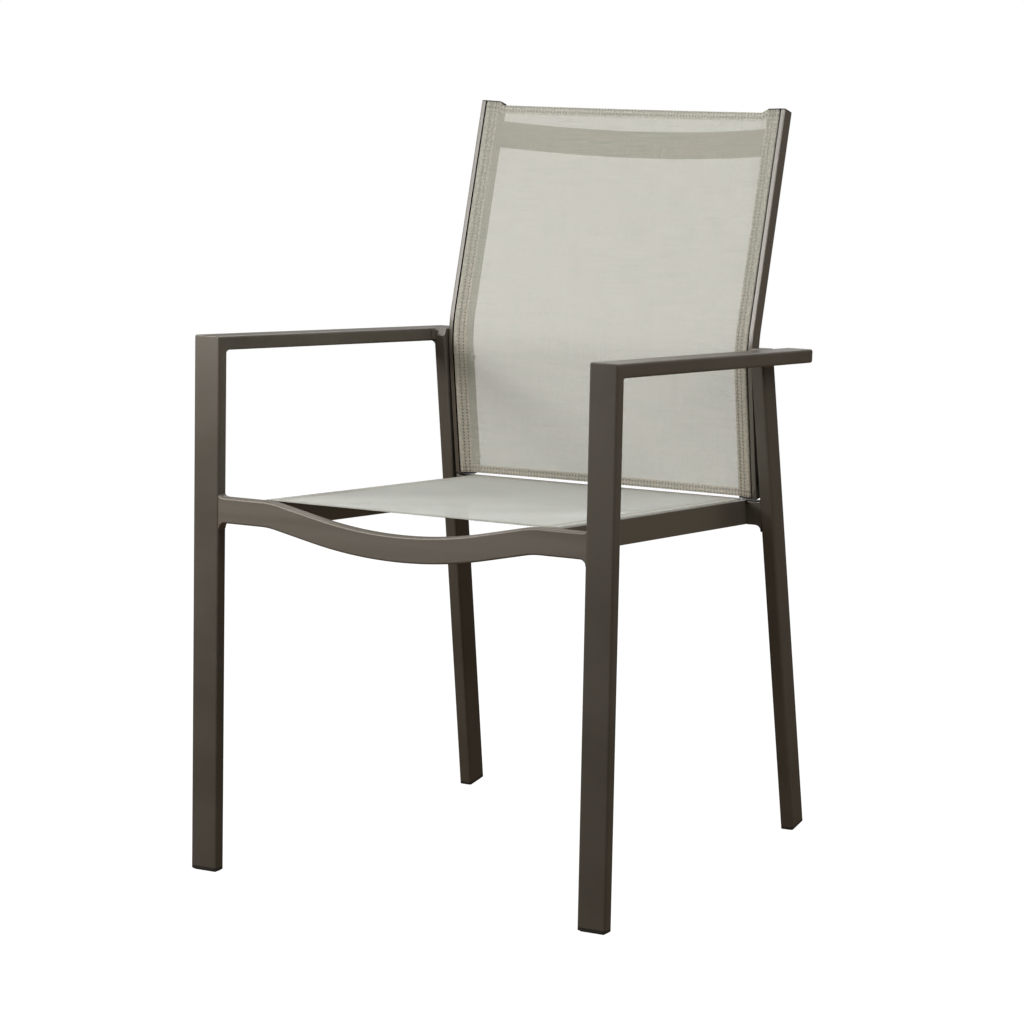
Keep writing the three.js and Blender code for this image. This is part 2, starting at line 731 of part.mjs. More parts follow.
// The sleeve on the lower bolt, where the splayed leg stands off the rail
function spacer(side) {
  const bore = boltRadius + boltClearance;
  const lean = spacerRadius * Math.tan(rearLegSplay + armToeIn);
  const length = rearLegInner(boltHeights.lower) - lean - seatGap - (backRailOuter + seatGap);
  const points = [[bore, 0], [spacerRadius, 0], [spacerRadius, length], [bore, length], [bore, 0]];
  const placement = boltFrame("lower", backRailOuter + seatGap);
  return meshOf(`back_spacer_${side}`, turned(points), plasticFinish, placement);
}

// The whole chair, centred over its own middle

function oneSide(side) {
  const half = new THREE.Group();
  half.add(frontLeg(side), armrest(side), rearLeg(side), rearLegCap(side));
  half.add(armPlug(side), frontGlide(side), rearGlide(side));
  half.add(seatRail(side), seatCord(side), backRail(side), backCord(side), spacer(side));
  for (const level of ["top", "bottom"]) half.add(backCap(level, side));
  for (const level of ["upper", "lower"]) half.add(bolt(level, side), insert(level, side));
  half.scale.x = side === "left" ? -1 : 1;
  return half;
}

const chair = new THREE.Group();
chair.add(oneSide("right"), oneSide("left"));
chair.add(frontCrossbar(), rearCrossbar(), backCrossbar(), seatSling(), backSling());
const extent = new THREE.Box3().setFromObject(chair);
chair.position.y = -extent.getCenter(new THREE.Vector3()).y;

export default chair;
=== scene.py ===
import json
import math

import bmesh
import bpy
from mathutils import Matrix, Quaternion, Vector

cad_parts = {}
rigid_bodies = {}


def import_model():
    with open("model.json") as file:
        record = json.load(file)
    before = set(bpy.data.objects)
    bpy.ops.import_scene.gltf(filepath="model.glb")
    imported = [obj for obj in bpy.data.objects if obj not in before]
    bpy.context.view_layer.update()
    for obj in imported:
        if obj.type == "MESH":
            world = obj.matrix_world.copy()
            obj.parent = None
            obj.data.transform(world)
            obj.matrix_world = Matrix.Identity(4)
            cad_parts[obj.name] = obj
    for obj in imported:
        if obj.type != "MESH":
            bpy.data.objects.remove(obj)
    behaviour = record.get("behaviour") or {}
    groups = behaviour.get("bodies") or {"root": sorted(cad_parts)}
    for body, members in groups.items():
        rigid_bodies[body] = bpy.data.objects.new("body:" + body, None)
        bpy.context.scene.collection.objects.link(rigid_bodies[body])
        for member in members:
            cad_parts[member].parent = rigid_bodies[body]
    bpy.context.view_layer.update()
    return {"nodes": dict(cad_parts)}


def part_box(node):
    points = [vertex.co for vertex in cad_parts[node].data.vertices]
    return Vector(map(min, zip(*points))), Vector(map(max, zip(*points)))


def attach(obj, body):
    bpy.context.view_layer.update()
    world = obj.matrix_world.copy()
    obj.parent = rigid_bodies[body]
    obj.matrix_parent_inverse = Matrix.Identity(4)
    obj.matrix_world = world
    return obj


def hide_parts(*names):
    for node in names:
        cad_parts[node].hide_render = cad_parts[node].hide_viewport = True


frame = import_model()

# A stacking patio armchair: a welded and powder coated frame of flat aluminium tube, with a seat sling
# and a back sling of coated yarn stretched between slotted rails. Metres, X to the right seen from the
# front, Y to the rear and Z up from the floor.

# Camera: a long lens that looks down a little from the right in front, with a slight roll.
X, Y, Z = Vector((1, 0, 0)), Vector((0, 1, 0)), Vector((0, 0, 1))
camera_place = Vector((1.89275, -3.47203, 0.96203))
camera_aim = Vector((-0.00086, -0.03526, 0.41650))
camera_roll = math.radians(1.11)
camera_lens = 117.07
nearest_seen = 0.1
farthest_seen = 100
camera = bpy.data.objects.new("camera", bpy.data.cameras.new("camera"))
bpy.context.scene.collection.objects.link(camera)
camera.data.lens = camera_lens
unrolled = (camera_aim - camera_place).to_track_quat("-Z", "Y")
camera.rotation_euler = (unrolled @ Quaternion(Z, camera_roll)).to_euler()
camera.location = camera_place
camera.data.clip_start = nearest_seen
camera.data.clip_end = farthest_seen
bpy.context.scene.camera = camera
bpy.context.scene.view_settings.view_transform = "Standard"

# Floor: a plain white studio floor that reaches to the horizon. It neither lights the chair nor shows in
# its gloss, because the room round it does that.
floor_size = 60
floor_cells = 4
floor_base = (0.10, 0.10, 0.10, 1)
floor_white = (0.97, 0.97, 0.97, 1)


class Shade:
    """A socket in a material's nodes. Sums written with it add Math nodes."""

    def __init__(self, tree, socket=None):
        self.tree = tree
        self.socket = socket

    def node(self, kind, settings, inputs, output=0):
        made = self.tree.nodes.new("ShaderNode" + kind)
        for name, value in settings.items():
            setattr(made, name, value)
        feed(made, inputs)
        return Shade(self.tree, made.outputs[output])

    def sum(self, operation, first, second):
        return self.node("Math", {"operation": operation}, {0: first, 1: second})

    def __add__(self, other):
        return self.sum("ADD", self, other)

    def __sub__(self, other):
        return self.sum("SUBTRACT", self, other)

    def __rsub__(self, other):
        return self.sum("SUBTRACT", other, self)

    def __mul__(self, other):
        return self.sum("MULTIPLY", self, other)

    __radd__, __rmul__ = __add__, __mul__

    def alone(self, operation):
        """A Math operation on this alone, such as its size or its sine."""
        return self.node("Math", {"operation": operation}, {0: self})

    def between(self, low, high):
        """0 below low and 1 above high, with a ramp between."""
        limits = {"Value": self, "From Min": low, "From Max": high}
        return self.node("MapRange", {"interpolation_type": "SMOOTHSTEP"}, limits)

    def mix(self, first, second):
        """Colour first where this is 0, and second where it is 1."""
        settings = {"data_type": "RGBA"}
        return self.node("Mix", settings, {"Factor": self, 6: first, 7: second}, 2)

    def noise(self, scale, detail=2, stretch=(1, 1, 1)):
        """Even noise over a coordinate, stretched by a share along each axis."""
        place = self.node("Mapping", {}, {"Vector": self, "Scale": stretch})
        return self.node("TexNoise", {}, {"Vector": place, "Scale": scale, "Detail": detail})


def feed(node, inputs):
    """Sets a node's sockets to values or links."""
    for name, value in inputs.items():
        if isinstance(value, Shade):
            value.tree.links.new(value.socket, node.inputs[name])
        else:
            node.inputs[name].default_value = value


def new_material(name):
    """A material with its Principled shader, and its Object coordinates as a Shade."""
    made = bpy.data.materials.new(name)
    made.use_nodes = True
    shader = made.node_tree.nodes["Principled BSDF"]
    place = Shade(made.node_tree).node("TexCoord", {}, {}, 3)
    return made, shader, place


bpy.ops.mesh.primitive_grid_add(x_subdivisions=floor_cells, y_subdivisions=floor_cells, size=floor_size)
floor = bpy.context.object
floor.name = "floor"
floor.visible_diffuse = False
floor.visible_glossy = False
paper, paper_shader, _ = new_material("floor_paper")
feed(paper_shader, {
    "Base Color": floor_base,
    "Roughness": 1,
    "Specular IOR Level": 0,
    "Emission Color": floor_white,
    "Emission Strength": 1,
})
floor.data.materials.append(paper)


# Light: a small soft box low on the left in front, a large one above it whose gleam runs down the back
# rails, and others on the right, overhead and behind. The room is pale on the left and above, dim on the
# right, brown below, and white where the backdrop stands.
softboxes = [
    ("key", (-0.58, -0.94, 0.85), (-0.10, 0, 0.55), 0.14, 5.0),
    ("high", (-1.10, -1.80, 1.68), (0, 0.20, 0.70), 1.10, 24),
    ("side", (1.25, -0.25, 1.35), (0.20, 0, 0.55), 0.7, 10),
    ("top", (0.15, -0.05, 2.40), (0, 0, 0.45), 1.2, 16),
    ("rear", (-0.60, 1.80, 2.60), (0, 0, 0.60), 1.8, 30),
]
for name, place, aim, size, power in softboxes:
    softbox = bpy.data.lights.new(name, "AREA")
    softbox.size = size
    softbox.energy = power
    lamp = bpy.data.objects.new(name, softbox)
    bpy.context.scene.collection.objects.link(lamp)
    lamp.location = place
    lamp.rotation_euler = (Vector(aim) - Vector(place)).to_track_quat("-Z", "Y").to_euler()

room_bright_way = (-0.60, -0.40, 0.70)
room_bright = (0.34, 0.34, 0.34, 1)
room_dim = (0.13, 0.115, 0.095, 1)
bright_edge = (-0.7, 0.9)
room_floor = (0.16, 0.12, 0.074, 1)
floor_edge = (-0.35, 0.05)
backdrop_way = (-0.208, 0.976, 0.060)
backdrop_white = (0.75, 0.75, 0.75, 1)
backdrop_edge = (0.925, 0.985)
horizon_white = (1, 1, 1, 1)
world = bpy.data.worlds.new("studio")
bpy.context.scene.world = world
world.use_nodes = True
room = Shade(world.node_tree)
way = room.node("TexCoord", {}, {})
height = room.node("SeparateXYZ", {}, {0: way}, 2)
facing, behind = [room.node("VectorMath", {"operation": "DOT_PRODUCT"}, {0: way, 1: there}, 1)
                  for there in (room_bright_way, backdrop_way)]
tone = facing.between(*bright_edge).mix(room_dim, room_bright)
tone = height.between(*floor_edge).mix(room_floor, tone)
tone = behind.between(*backdrop_edge).mix(tone, backdrop_white)
walls = room.node("Background", {}, {"Color": tone})
horizon = room.node("Background", {}, {"Color": horizon_white})
camera_ray = room.node("LightPath", {}, {})
seen_or_lit = room.node("MixShader", {}, {0: camera_ray, 1: walls, 2: horizon})
world.node_tree.links.new(seen_or_lit.socket, world.node_tree.nodes["World Output"].inputs["Surface"])


# Side frames: on each side the front leg and the armrest are one flat oblong tube, mitred and welded at
# the front corner and ground smooth. The tube is aluminium, powder coated in a satin bronze.
frame_width = 0.548
arm_height = 0.630
arm_length = 0.5375
arm_slope = math.radians(2.36)
arm_toe_in = math.radians(1.2)
tube_wide = 0.035
tube_thin = 0.0165
tube_corner = 0.003
corner_steps = 6
mitre_bevel = 0.0013
bevel_steps = 3
smooth_angle = math.radians(38)
merge_reach = 1e-6
plane_reach = 1e-5


def put_down():
    """Leaves edit mode with nothing selected."""
    if bpy.context.mode != "OBJECT":
        bpy.ops.object.mode_set(mode="OBJECT")
    bpy.ops.object.select_all(action="DESELECT")


def pick_up(piece):
    put_down()
    piece.select_set(True)
    bpy.context.view_layer.objects.active = piece


def edit(piece):
    """Opens a piece in edit mode with all of it selected."""
    pick_up(piece)
    bpy.ops.object.mode_set(mode="EDIT")
    bpy.ops.mesh.select_all(action="SELECT")


def face_outwards():
    """Turns the faces of the piece in hand outwards, and puts it down."""
    bpy.ops.mesh.select_all(action="SELECT")
    bpy.ops.mesh.normals_make_consistent(inside=False)
    put_down()


def run(way):
    bpy.ops.mesh.extrude_region_move(TRANSFORM_OT_translate={"value": way})


def turn(angle, centre, axis, steps):
    bpy.ops.mesh.spin(steps=steps, angle=-angle, center=centre, axis=axis)


class Section:
    """The closed outline of a bar, drawn from point to point as the first loop of a new piece."""

    def __init__(self, name, at, across, deep):
        put_down()
        bpy.ops.mesh.primitive_plane_add(size=tube_corner)
        self.piece = bpy.context.object
        self.piece.name = name
        bpy.ops.object.mode_set(mode="EDIT")
        bpy.ops.mesh.merge(type="CENTER")
        self.at, self.across, self.deep = at, across, deep
        self.here = Vector((0, 0, 0))

    def place(self, x, y):
        return self.at + self.across * x + self.deep * y

    def start(self, x, y):
        self.here = self.place(x, y)
        bpy.ops.transform.translate(value=self.here)

    def line(self, x, y):
        there = self.place(x, y)
        run(there - self.here)
        self.here = there

    def arc(self, x, y, angle, steps=corner_steps):
        """Goes on by an angle round a centre."""
        centre, axis = self.place(x, y), self.across.cross(self.deep)
        turn(angle, centre, axis, steps)
        self.here = centre + Matrix.Rotation(angle, 3, axis) @ (self.here - centre)

    def close(self):
        bpy.ops.mesh.select_all(action="SELECT")
        bpy.ops.mesh.remove_doubles(threshold=merge_reach)
        return self.piece


def oblong(name, at, across, deep, width, depth, corner):
    """A rectangle with round corners, its middle at a point."""
    section = Section(name, at, across, deep)
    x, y = width / 2 - corner, depth / 2 - corner
    section.start(-x, -y - corner)
    for at_x, at_y, aside, ahead in ((x, -y, 0, -1), (x, y, 1, 0), (-x, y, 0, 1), (-x, -y, -1, 0)):
        section.line(at_x + aside * corner, at_y + ahead * corner)
        section.arc(at_x, at_y, math.pi / 2)
    return section.close()


def move_selected(piece, moved):
    mesh = bmesh.from_edit_mesh(piece.data)
    for vertex in mesh.verts:
        if vertex.select:
            vertex.co = moved(vertex.co)
    bmesh.update_edit_mesh(piece.data)


def slide(piece, way, point, normal):
    """Slides the selected points along a way onto a plane."""
    move_selected(piece, lambda at: at + way * ((point - at).dot(normal) / way.dot(normal)))


def close_ends(piece):
    bpy.ops.mesh.select_all(action="SELECT")
    bpy.ops.mesh.remove_doubles(threshold=merge_reach)
    bpy.ops.mesh.fill_holes(sides=0)
    face_outwards()
    return piece


def select_on_plane(piece, kind, point, normal):
    """Selects the edges or the faces that have all their points on a plane."""
    bpy.ops.mesh.select_all(action="DESELECT")
    mesh = bmesh.from_edit_mesh(piece.data)
    for each in getattr(mesh, kind):
        if all(abs((vertex.co - point).dot(normal)) < plane_reach for vertex in each.verts):
            each.select_set(True)
    bmesh.update_edit_mesh(piece.data)


def bevel_on_plane(piece, point, normal, offset, steps=bevel_steps):
    edit(piece)
    select_on_plane(piece, "edges", point, normal)
    bpy.ops.mesh.bevel(offset=offset, segments=steps, profile=0.5, affect="EDGES")
    put_down()


def mirrored(piece, name):
    """The same piece for the left side, with its own mesh."""
    pick_up(piece)
    bpy.ops.object.duplicate()
    twin = bpy.context.object
    twin.name = name
    edit(twin)
    bpy.ops.transform.resize(value=(-1, 1, 1), center_override=(0, 0, 0))
    face_outwards()
    return twin


def smooth(piece, angle=smooth_angle):
    """Flat faces stay flat to the eye, and the rounds between them turn evenly."""
    pick_up(piece)
    bpy.ops.object.shade_smooth_by_angle(angle=angle)
    even = piece.modifiers.new("even", "WEIGHTED_NORMAL")
    even.keep_sharp = True
    bpy.ops.object.modifier_apply(modifier=even.name)
    put_down()


def bump(place, height, distance, strength):
    heights = {"Height": height, "Distance": distance, "Strength": strength}
    return place.node("Bump", {}, heights)


cloud_scale = 9
cloud_ramp = (0.35, 0.65)
cloud_share = 0.7
cloud_dulls = 0.08
peel_scale = 900
peel_depth = 0.00012
peel_strength = 0.35
grain_scale = 3800
grain_height = 0.4
grain_dulls = 0.04
least_dull = 0.05
flake_metallic = 0.25
lacquer_roughness = 0.2


def powder_coat(name, deep, lit, roughness, gloss=0, stretch=(1, 1, 1)):
    """Powder coat with an orange peel surface, cloudy in tone, and drawn out along an extrusion."""
    made, shader, place = new_material(name)
    cloud = place.noise(cloud_scale, 4, stretch)
    orange_peel = place.noise(peel_scale, 2, stretch)
    grain = place.noise(grain_scale, 1)
    feed(shader, {
        "Base Color": (cloud.between(*cloud_ramp) * cloud_share + grain * (1 - cloud_share)).mix(deep, lit),
        "Roughness": roughness - least_dull + cloud * cloud_dulls + grain * grain_dulls,
        "Metallic": flake_metallic,
        "Coat Weight": gloss,
        "Coat Roughness": lacquer_roughness,
        "Normal": bump(place, orange_peel + grain * grain_height, peel_depth, peel_strength),
    })
    return made


powder = powder_coat("powder_coat_bronze", deep=(0.074, 0.063, 0.048, 1), lit=(0.096, 0.083, 0.066, 1),
                     roughness=0.38)


def dress(piece, finish, slot, *nodes):
    """Gives a piece its finish and its place in the frame."""
    piece.data.materials.clear()
    piece.data.materials.append(finish)
    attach(piece, "root")
    if nodes:
        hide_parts(*nodes)


def pair(piece, stem, finish, slot, *nodes, angle=smooth_angle):
    """Names a right piece, adds its left twin and finishes both."""
    piece.name = f"{stem}_right"
    twin = mirrored(piece, f"{stem}_left")
    for each, side in ((piece, "right"), (twin, "left")):
        smooth(each, angle)
        dress(each, finish, slot, *[f"{node}_{side}" for node in nodes])


front_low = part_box("front_leg_right")[0]
leg_front = front_low.y
arm_along = Vector((-math.tan(arm_toe_in), 1, -math.tan(arm_slope))).normalized()
arm_normal = Vector((0, math.sin(arm_slope), math.cos(arm_slope)))
arm_drop = tube_thin / 2 / math.cos(arm_slope)


def arm_top(y):
    return arm_height - math.tan(arm_slope) * (y - leg_front)


def arm_middle(y):
    inwards = math.tan(arm_toe_in) * (y - leg_front)
    return Vector((frame_width / 2 - tube_wide / 2 - inwards, y, arm_top(y) - arm_drop))


leg_foot = Vector((frame_width / 2 - tube_wide / 2, leg_front + tube_thin / 2, front_low.z))
mitre_outer = Vector((0, leg_front, arm_height))
mitre_inner = Vector((0, leg_front + tube_thin, arm_top(leg_front + tube_thin) - 2 * arm_drop))
mitre_normal = (mitre_inner - mitre_outer).cross(X).normalized()
arm_end = arm_middle(leg_front + arm_length)
side_frame = oblong("side_frame", leg_foot, X, Y, tube_wide, tube_thin, tube_corner)
run(Z * arm_height)
slide(side_frame, Z, mitre_outer, mitre_normal)
run(arm_along * arm_height)
slide(side_frame, arm_along, arm_end, arm_along)
close_ends(side_frame)
bevel_on_plane(side_frame, mitre_outer, mitre_normal, mitre_bevel)
pair(side_frame, "side_frame", powder, "frame", "front_leg", "armrest")


# Rear legs: the same tube, raked to the rear and splayed, standing just inside the armrest and welded to
# it. A welded plate closes the top, level with the armrest, and the front edge there is ground down.
leg_rake = math.radians(10.1)
leg_splay = math.radians(1.1)
rear_leg_top = Vector((0.21998, 0.17972, 0.61002))
rear_leg_end = 0.00627
cap_plate = 0.0015
cap_round = 0.0006
facet_low = 0.0055
facet_lean = math.radians(29)
facet_turn = math.radians(2.5)
facet_smooth = math.radians(20)
leg_down = Vector((math.tan(leg_splay), math.tan(leg_rake), -1))
leg_up = -leg_down.normalized()
leg_wide = (arm_along - leg_up * arm_along.dot(leg_up)).normalized()
leg_thin = leg_up.cross(leg_wide)


def shave(piece, point, normal):
    """Cuts off what lies beyond a plane and closes the cut."""
    edit(piece)
    bpy.ops.mesh.bisect(plane_co=point, plane_no=normal, use_fill=True, clear_outer=True)
    put_down()


def grind_front(piece):
    """Takes the front edge of the top down in two facets, low in the middle, as by a grinder."""
    point = rear_leg_top - leg_wide * tube_wide / 2 - leg_up * facet_low
    lean = leg_up * math.sin(facet_lean) - leg_wide * math.cos(facet_lean)
    for angle in (-facet_turn, facet_turn):
        shave(piece, point, Matrix.Rotation(angle, 3, leg_up) @ lean)


rear_foot = rear_leg_top + leg_down * (rear_leg_top.z - rear_leg_end)
rear_leg = oblong("rear_leg", rear_foot, leg_wide, leg_thin, tube_wide, tube_thin, tube_corner)
run(leg_up * arm_height)
slide(rear_leg, leg_up, rear_leg_top - arm_normal * cap_plate, arm_normal)
close_ends(rear_leg)
grind_front(rear_leg)
pair(rear_leg, "rear_leg_tube", powder, "frame", "rear_leg", angle=facet_smooth)

leg_plate = oblong("leg_plate", rear_leg_top, leg_wide, leg_thin, tube_wide, tube_thin, tube_corner)
slide(leg_plate, leg_up, rear_leg_top - arm_normal * cap_plate, arm_normal)
run(leg_up * cap_plate)
slide(leg_plate, leg_up, rear_leg_top, arm_normal)
close_ends(leg_plate)
bevel_on_plane(leg_plate, rear_leg_top, arm_normal, cap_round)
grind_front(leg_plate)
pair(leg_plate, "rear_leg_plate", powder, "frame", "rear_leg_cap", angle=facet_smooth)


# Welds of the side frames: ground fillets in the corner under the front of the armrest, on both sides of
# the rear leg where it meets the armrest, and under the armrest along the leg.
weld_bite = 0.0008
mitre_weld = 0.0080
under_weld = 0.0070
side_weld = 0.0045
side_weld_length = 0.0125
side_weld_drop = 0.002


def corner_weld(stem, at, first, second, across, reach, length):
    """A hollow fillet in the corner between two faces, from a point along the corner."""
    section = Section("weld", at, first, second)
    section.start(reach, 0)
    section.arc(reach, reach, -math.pi / 2)
    section.line(-weld_bite, reach)
    section.line(-weld_bite, -weld_bite)
    section.line(reach, -weld_bite)
    section.line(reach, 0)
    weld = section.close()
    run(across * length)
    pair(close_ends(weld), f"weld_{stem}", powder, "frame")


arm_across = (X - arm_along * X.dot(arm_along)).normalized()
arm_under = arm_middle(rear_leg_top.y) - arm_normal * tube_thin / 2
leg_outer = rear_leg_top - leg_thin * tube_thin / 2
under_corner = leg_outer - leg_up * ((leg_outer - arm_under).dot(arm_normal) / leg_up.dot(arm_normal))
flat_width = tube_wide - 2 * tube_corner
mitre_start = mitre_inner + X * (frame_width / 2 - tube_wide + tube_corner)
corner_weld("mitre", mitre_start, arm_along, -Z, X, mitre_weld, flat_width)
under_start = under_corner - arm_along * flat_width / 2
corner_weld("under_arm", under_start, arm_across, -leg_up, arm_along, under_weld, flat_width)
for stem, way in (("arm_front", -1), ("arm_rear", 1)):
    edge = leg_outer + leg_wide * way * tube_wide / 2
    edge -= leg_up * ((edge - rear_leg_top).dot(arm_normal) / leg_up.dot(arm_normal) + side_weld_drop)
    corner_weld(stem, edge, arm_along * way, leg_thin, -leg_up, side_weld, side_weld_length)


# Front crossbar: a smaller tube that runs level from each leg, down round a shoulder and along a wide
# bow, so that the edge of the seat hangs clear of it. It is welded to the legs with ground fillets. Its
# powder coat is painted paler than the legs', as painted light for the highlight that the bar catches.
bar_tall = 0.030
bar_deep = 0.015
bar_corner = 0.0025
bar_inset = 0.001
front_bar_height = 0.4438
dip_angle = math.radians(12)
dip_radius = 0.530
dip_depth = 0.0245
dip_steps = 28
shoulder_radius = 0.100
shoulder_steps = 8
fillet_length = 0.008
fillet_low = 0.008
fillet_high = 0.003
fillet_steps = 6
bar_bite = 0.0012


def grow_loop(before, after):
    """Stretches the loop from one share of the weld's height to another, more below than above."""
    mesh = bmesh.from_edit_mesh(bpy.context.object.data)
    places = [vertex.co for vertex in mesh.verts if vertex.select]
    middle = sum(places, Vector()) / len(places)
    growth = fillet_low + fillet_high
    share = (bar_tall + growth * after) / (bar_tall + growth * before)
    bpy.ops.transform.resize(value=(1, 1, share), center_override=middle)
    bpy.ops.transform.translate(value=Z * (fillet_high - fillet_low) / 2 * (after - before))


def fillet(leaving):
    """Draws the loop through the round of a weld, leaving one leg or meeting the next."""
    angles = [math.pi / 2 * k / fillet_steps for k in range(fillet_steps + 1)]
    if not leaving:
        angles.reverse()
    for before, after in zip(angles, angles[1:]):
        run(X * fillet_length * abs(math.cos(before) - math.cos(after)))
        grow_loop(1 - math.sin(before), 1 - math.sin(after))


def start_bar(name, at):
    """The left end of a crossbar, from inside the leg's wall to where its weld runs out."""
    bar = oblong(name, at - X * bar_bite, -Z, -Y, bar_tall, bar_deep, bar_corner)
    grow_loop(0, 1)
    run(X * bar_bite)
    fillet(leaving=True)
    return bar


def end_bar(bar, finish, node):
    """The right end, as the left one."""
    fillet(leaving=False)
    run(X * bar_bite)
    close_ends(bar)
    smooth(bar)
    dress(bar, finish, "frame", node)


leg_inner = frame_width / 2 - tube_wide
bar_level = front_bar_height - bar_tall / 2
bar_depth = leg_front + bar_inset + bar_deep / 2
fall = (dip_radius + shoulder_radius) * (1 - math.cos(dip_angle))
ramp = (dip_depth - fall) / math.sin(dip_angle)
shoulder_x = ramp * math.cos(dip_angle) + (dip_radius + shoulder_radius) * math.sin(dip_angle)
ramp_way = Vector((math.cos(dip_angle), 0, -math.sin(dip_angle)))
# The crossbar's coat is paler than the legs': painted light for the highlight along the bar.
bar_powder_painted_light = powder_coat("powder_coat_crossbar_painted_light", deep=(0.110, 0.095, 0.075, 1),
                         lit=(0.149, 0.131, 0.108, 1), roughness=0.46, stretch=(0.25, 1, 6))
front_bar = start_bar("front_crossbar_tube", Vector((-leg_inner, bar_depth, bar_level)))
run(X * (leg_inner - fillet_length - shoulder_x))
turn(dip_angle, Vector((-shoulder_x, bar_depth, bar_level - shoulder_radius)), Y, shoulder_steps)
run(ramp_way * ramp)
turn(-2 * dip_angle, Vector((0, bar_depth, bar_level - dip_depth + dip_radius)), Y, dip_steps)
run(Vector((ramp_way.x, 0, -ramp_way.z)) * ramp)
turn(dip_angle, Vector((shoulder_x, bar_depth, bar_level - shoulder_radius)), Y, shoulder_steps)
run(X * (leg_inner - fillet_length - shoulder_x))
end_bar(front_bar, bar_powder_painted_light, "front_crossbar")


# Rear crossbar: a straight length of the same tube between the rear legs, welded to them like the front
# one. The seat rails end against its front face, level with its top.
rear_bar_low, rear_bar_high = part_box("rear_crossbar")
rear_bar_middle = (rear_bar_low + rear_bar_high) / 2
rear_bar = start_bar("rear_crossbar_tube", Vector((-rear_bar_high.x, *rear_bar_middle.yz)))
run(X * 2 * (rear_bar_high.x - fillet_length))
end_bar(rear_bar, powder, "rear_crossbar")


# Seat rails: extruded rails with a round channel along the top, open through a narrow slot that holds the
# edge cord of the sling. Their ends are welded between the two crossbars, and they fall to the rear.
rail_corner = 0.001
rail_corner_steps = 3
rail_lip = 0.0055
slot_width = 0.0025
channel_radius = 0.0032
channel_depth = 0.0056
channel_steps = 16
face_corner = 0.0025
face_corner_steps = 6
seat_rail_width = 0.024
seat_rail_depth = 0.030
seat_face_fall = 0.0003
seat_fall = 0.021
rail_bite = 0.0005
# Nearly black tones of the painted shade inside the rails' slots.
slot_shade_scale = 400
slot_shade_deep = (0.004, 0.003, 0.002, 1)
slot_shade_pale = (0.012, 0.010, 0.007, 1)


def rail_outline(name, at, across, deep, width, depth, face_fall, slotted=True):
    """From the outer corner on the cloth's side, over the slot and the face, and round the rail."""
    section = Section(name, at, across, deep)
    quarter = -math.pi / 2
    section.start(0, rail_corner)
    section.arc(-rail_corner, rail_corner, quarter, rail_corner_steps)
    section.line(-rail_lip, 0)
    if slotted:
        mouth = math.asin(slot_width / 2 / channel_radius)
        section.line(-rail_lip, channel_depth - channel_radius * math.cos(mouth))
        section.arc(-rail_lip - slot_width / 2, channel_depth, 2 * (math.pi - mouth), channel_steps)
    section.line(-rail_lip - slot_width, 0)
    section.line(-width + face_corner, face_fall)
    section.arc(-width + face_corner, face_fall + face_corner, quarter, face_corner_steps)
    back = depth - rail_corner
    section.line(-width, back)
    section.arc(-width + rail_corner, back, quarter, rail_corner_steps)
    section.line(-rail_corner, depth)
    section.arc(-rail_corner, back, quarter, rail_corner_steps)
    section.line(0, rail_corner)
    return section.close()


rail_powder = powder_coat("powder_coat_rails", deep=(0.084, 0.071, 0.055, 1), lit=(0.108, 0.094, 0.075, 1),
                          roughness=0.26, gloss=0.6, stretch=(1, 0.15, 0.15))
# The slot and its channel get a nearly black material: painted shade for the dark inside of the rail.
slot_shade, slot_shade_shader, slot_shade_place = new_material("painted_shade_in_slot")
feed(slot_shade_shader, {
    "Base Color": slot_shade_place.noise(slot_shade_scale).mix(slot_shade_deep, slot_shade_pale),
    "Roughness": 0.95,
    "Specular IOR Level": 0.1,
})


def paint_slot_shade(stem, outer):
    """Paints the slot and its channel, but not the ends of the rail, nearly black as painted shade."""
    slot_middle = outer - rail_lip - slot_width / 2
    for side in ("left", "right"):
        mesh = bpy.data.objects[f"{stem}_extrusion_{side}"].data
        mesh.materials.append(slot_shade)
        for face in mesh.polygons:
            if abs(abs(face.center.x) - slot_middle) < channel_radius and len(face.vertices) == 4:
                face.material_index = 1


seat_rail_low, seat_rail_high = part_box("seat_rail_right")
seat_outer = seat_rail_high.x
seat_front = Vector((seat_outer, seat_rail_low.y, seat_rail_high.z))
seat_rear = Vector((seat_outer, seat_rail_high.y, seat_rail_high.z - seat_fall))
seat_along = (seat_rear - seat_front).normalized()
seat_deep = seat_along.cross(X)
seat_shape = (seat_rail_width, seat_rail_depth, seat_face_fall)
seat_rail = rail_outline("seat_rail", seat_front, X, seat_deep, *seat_shape)
slide(seat_rail, seat_along, seat_front - Y * rail_bite, Y)
run(seat_rear - seat_front)
slide(seat_rail, seat_along, seat_rear + Y * rail_bite, Y)
close_ends(seat_rail)
pair(seat_rail, "seat_rail_extrusion", rail_powder, "frame", "seat_rail")
paint_slot_shade("seat_rail", seat_outer)


# Back rails: the same kind of rail, bent once at the height of the armrests, so that the back leans. They
# are bolted to the inner sides of the rear legs.
back_rail_width = 0.0255
back_rail_depth = 0.020
back_face_fall = 0.003
back_bend = Vector((0, 0.16881, 0.608))
lower_lean = math.radians(8.4)
upper_lean = math.radians(15.2)
bend_radius = 0.140
bend_steps = 12
back_rail_low, back_rail_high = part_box("back_rail_right")
back_outer = back_rail_high.x
back_inner = back_outer - back_rail_width
back_turn = lower_lean + upper_lean
low_along = Vector((0, -math.sin(lower_lean), math.cos(lower_lean)))
high_along = Vector((0, math.sin(upper_lean), math.cos(upper_lean)))
low_deep = Vector((0, math.cos(lower_lean), math.sin(lower_lean)))
high_deep = Vector((0, math.cos(upper_lean), -math.sin(upper_lean)))
bend_tangent = bend_radius * math.tan(back_turn / 2)
bend_way = bend_radius * back_turn
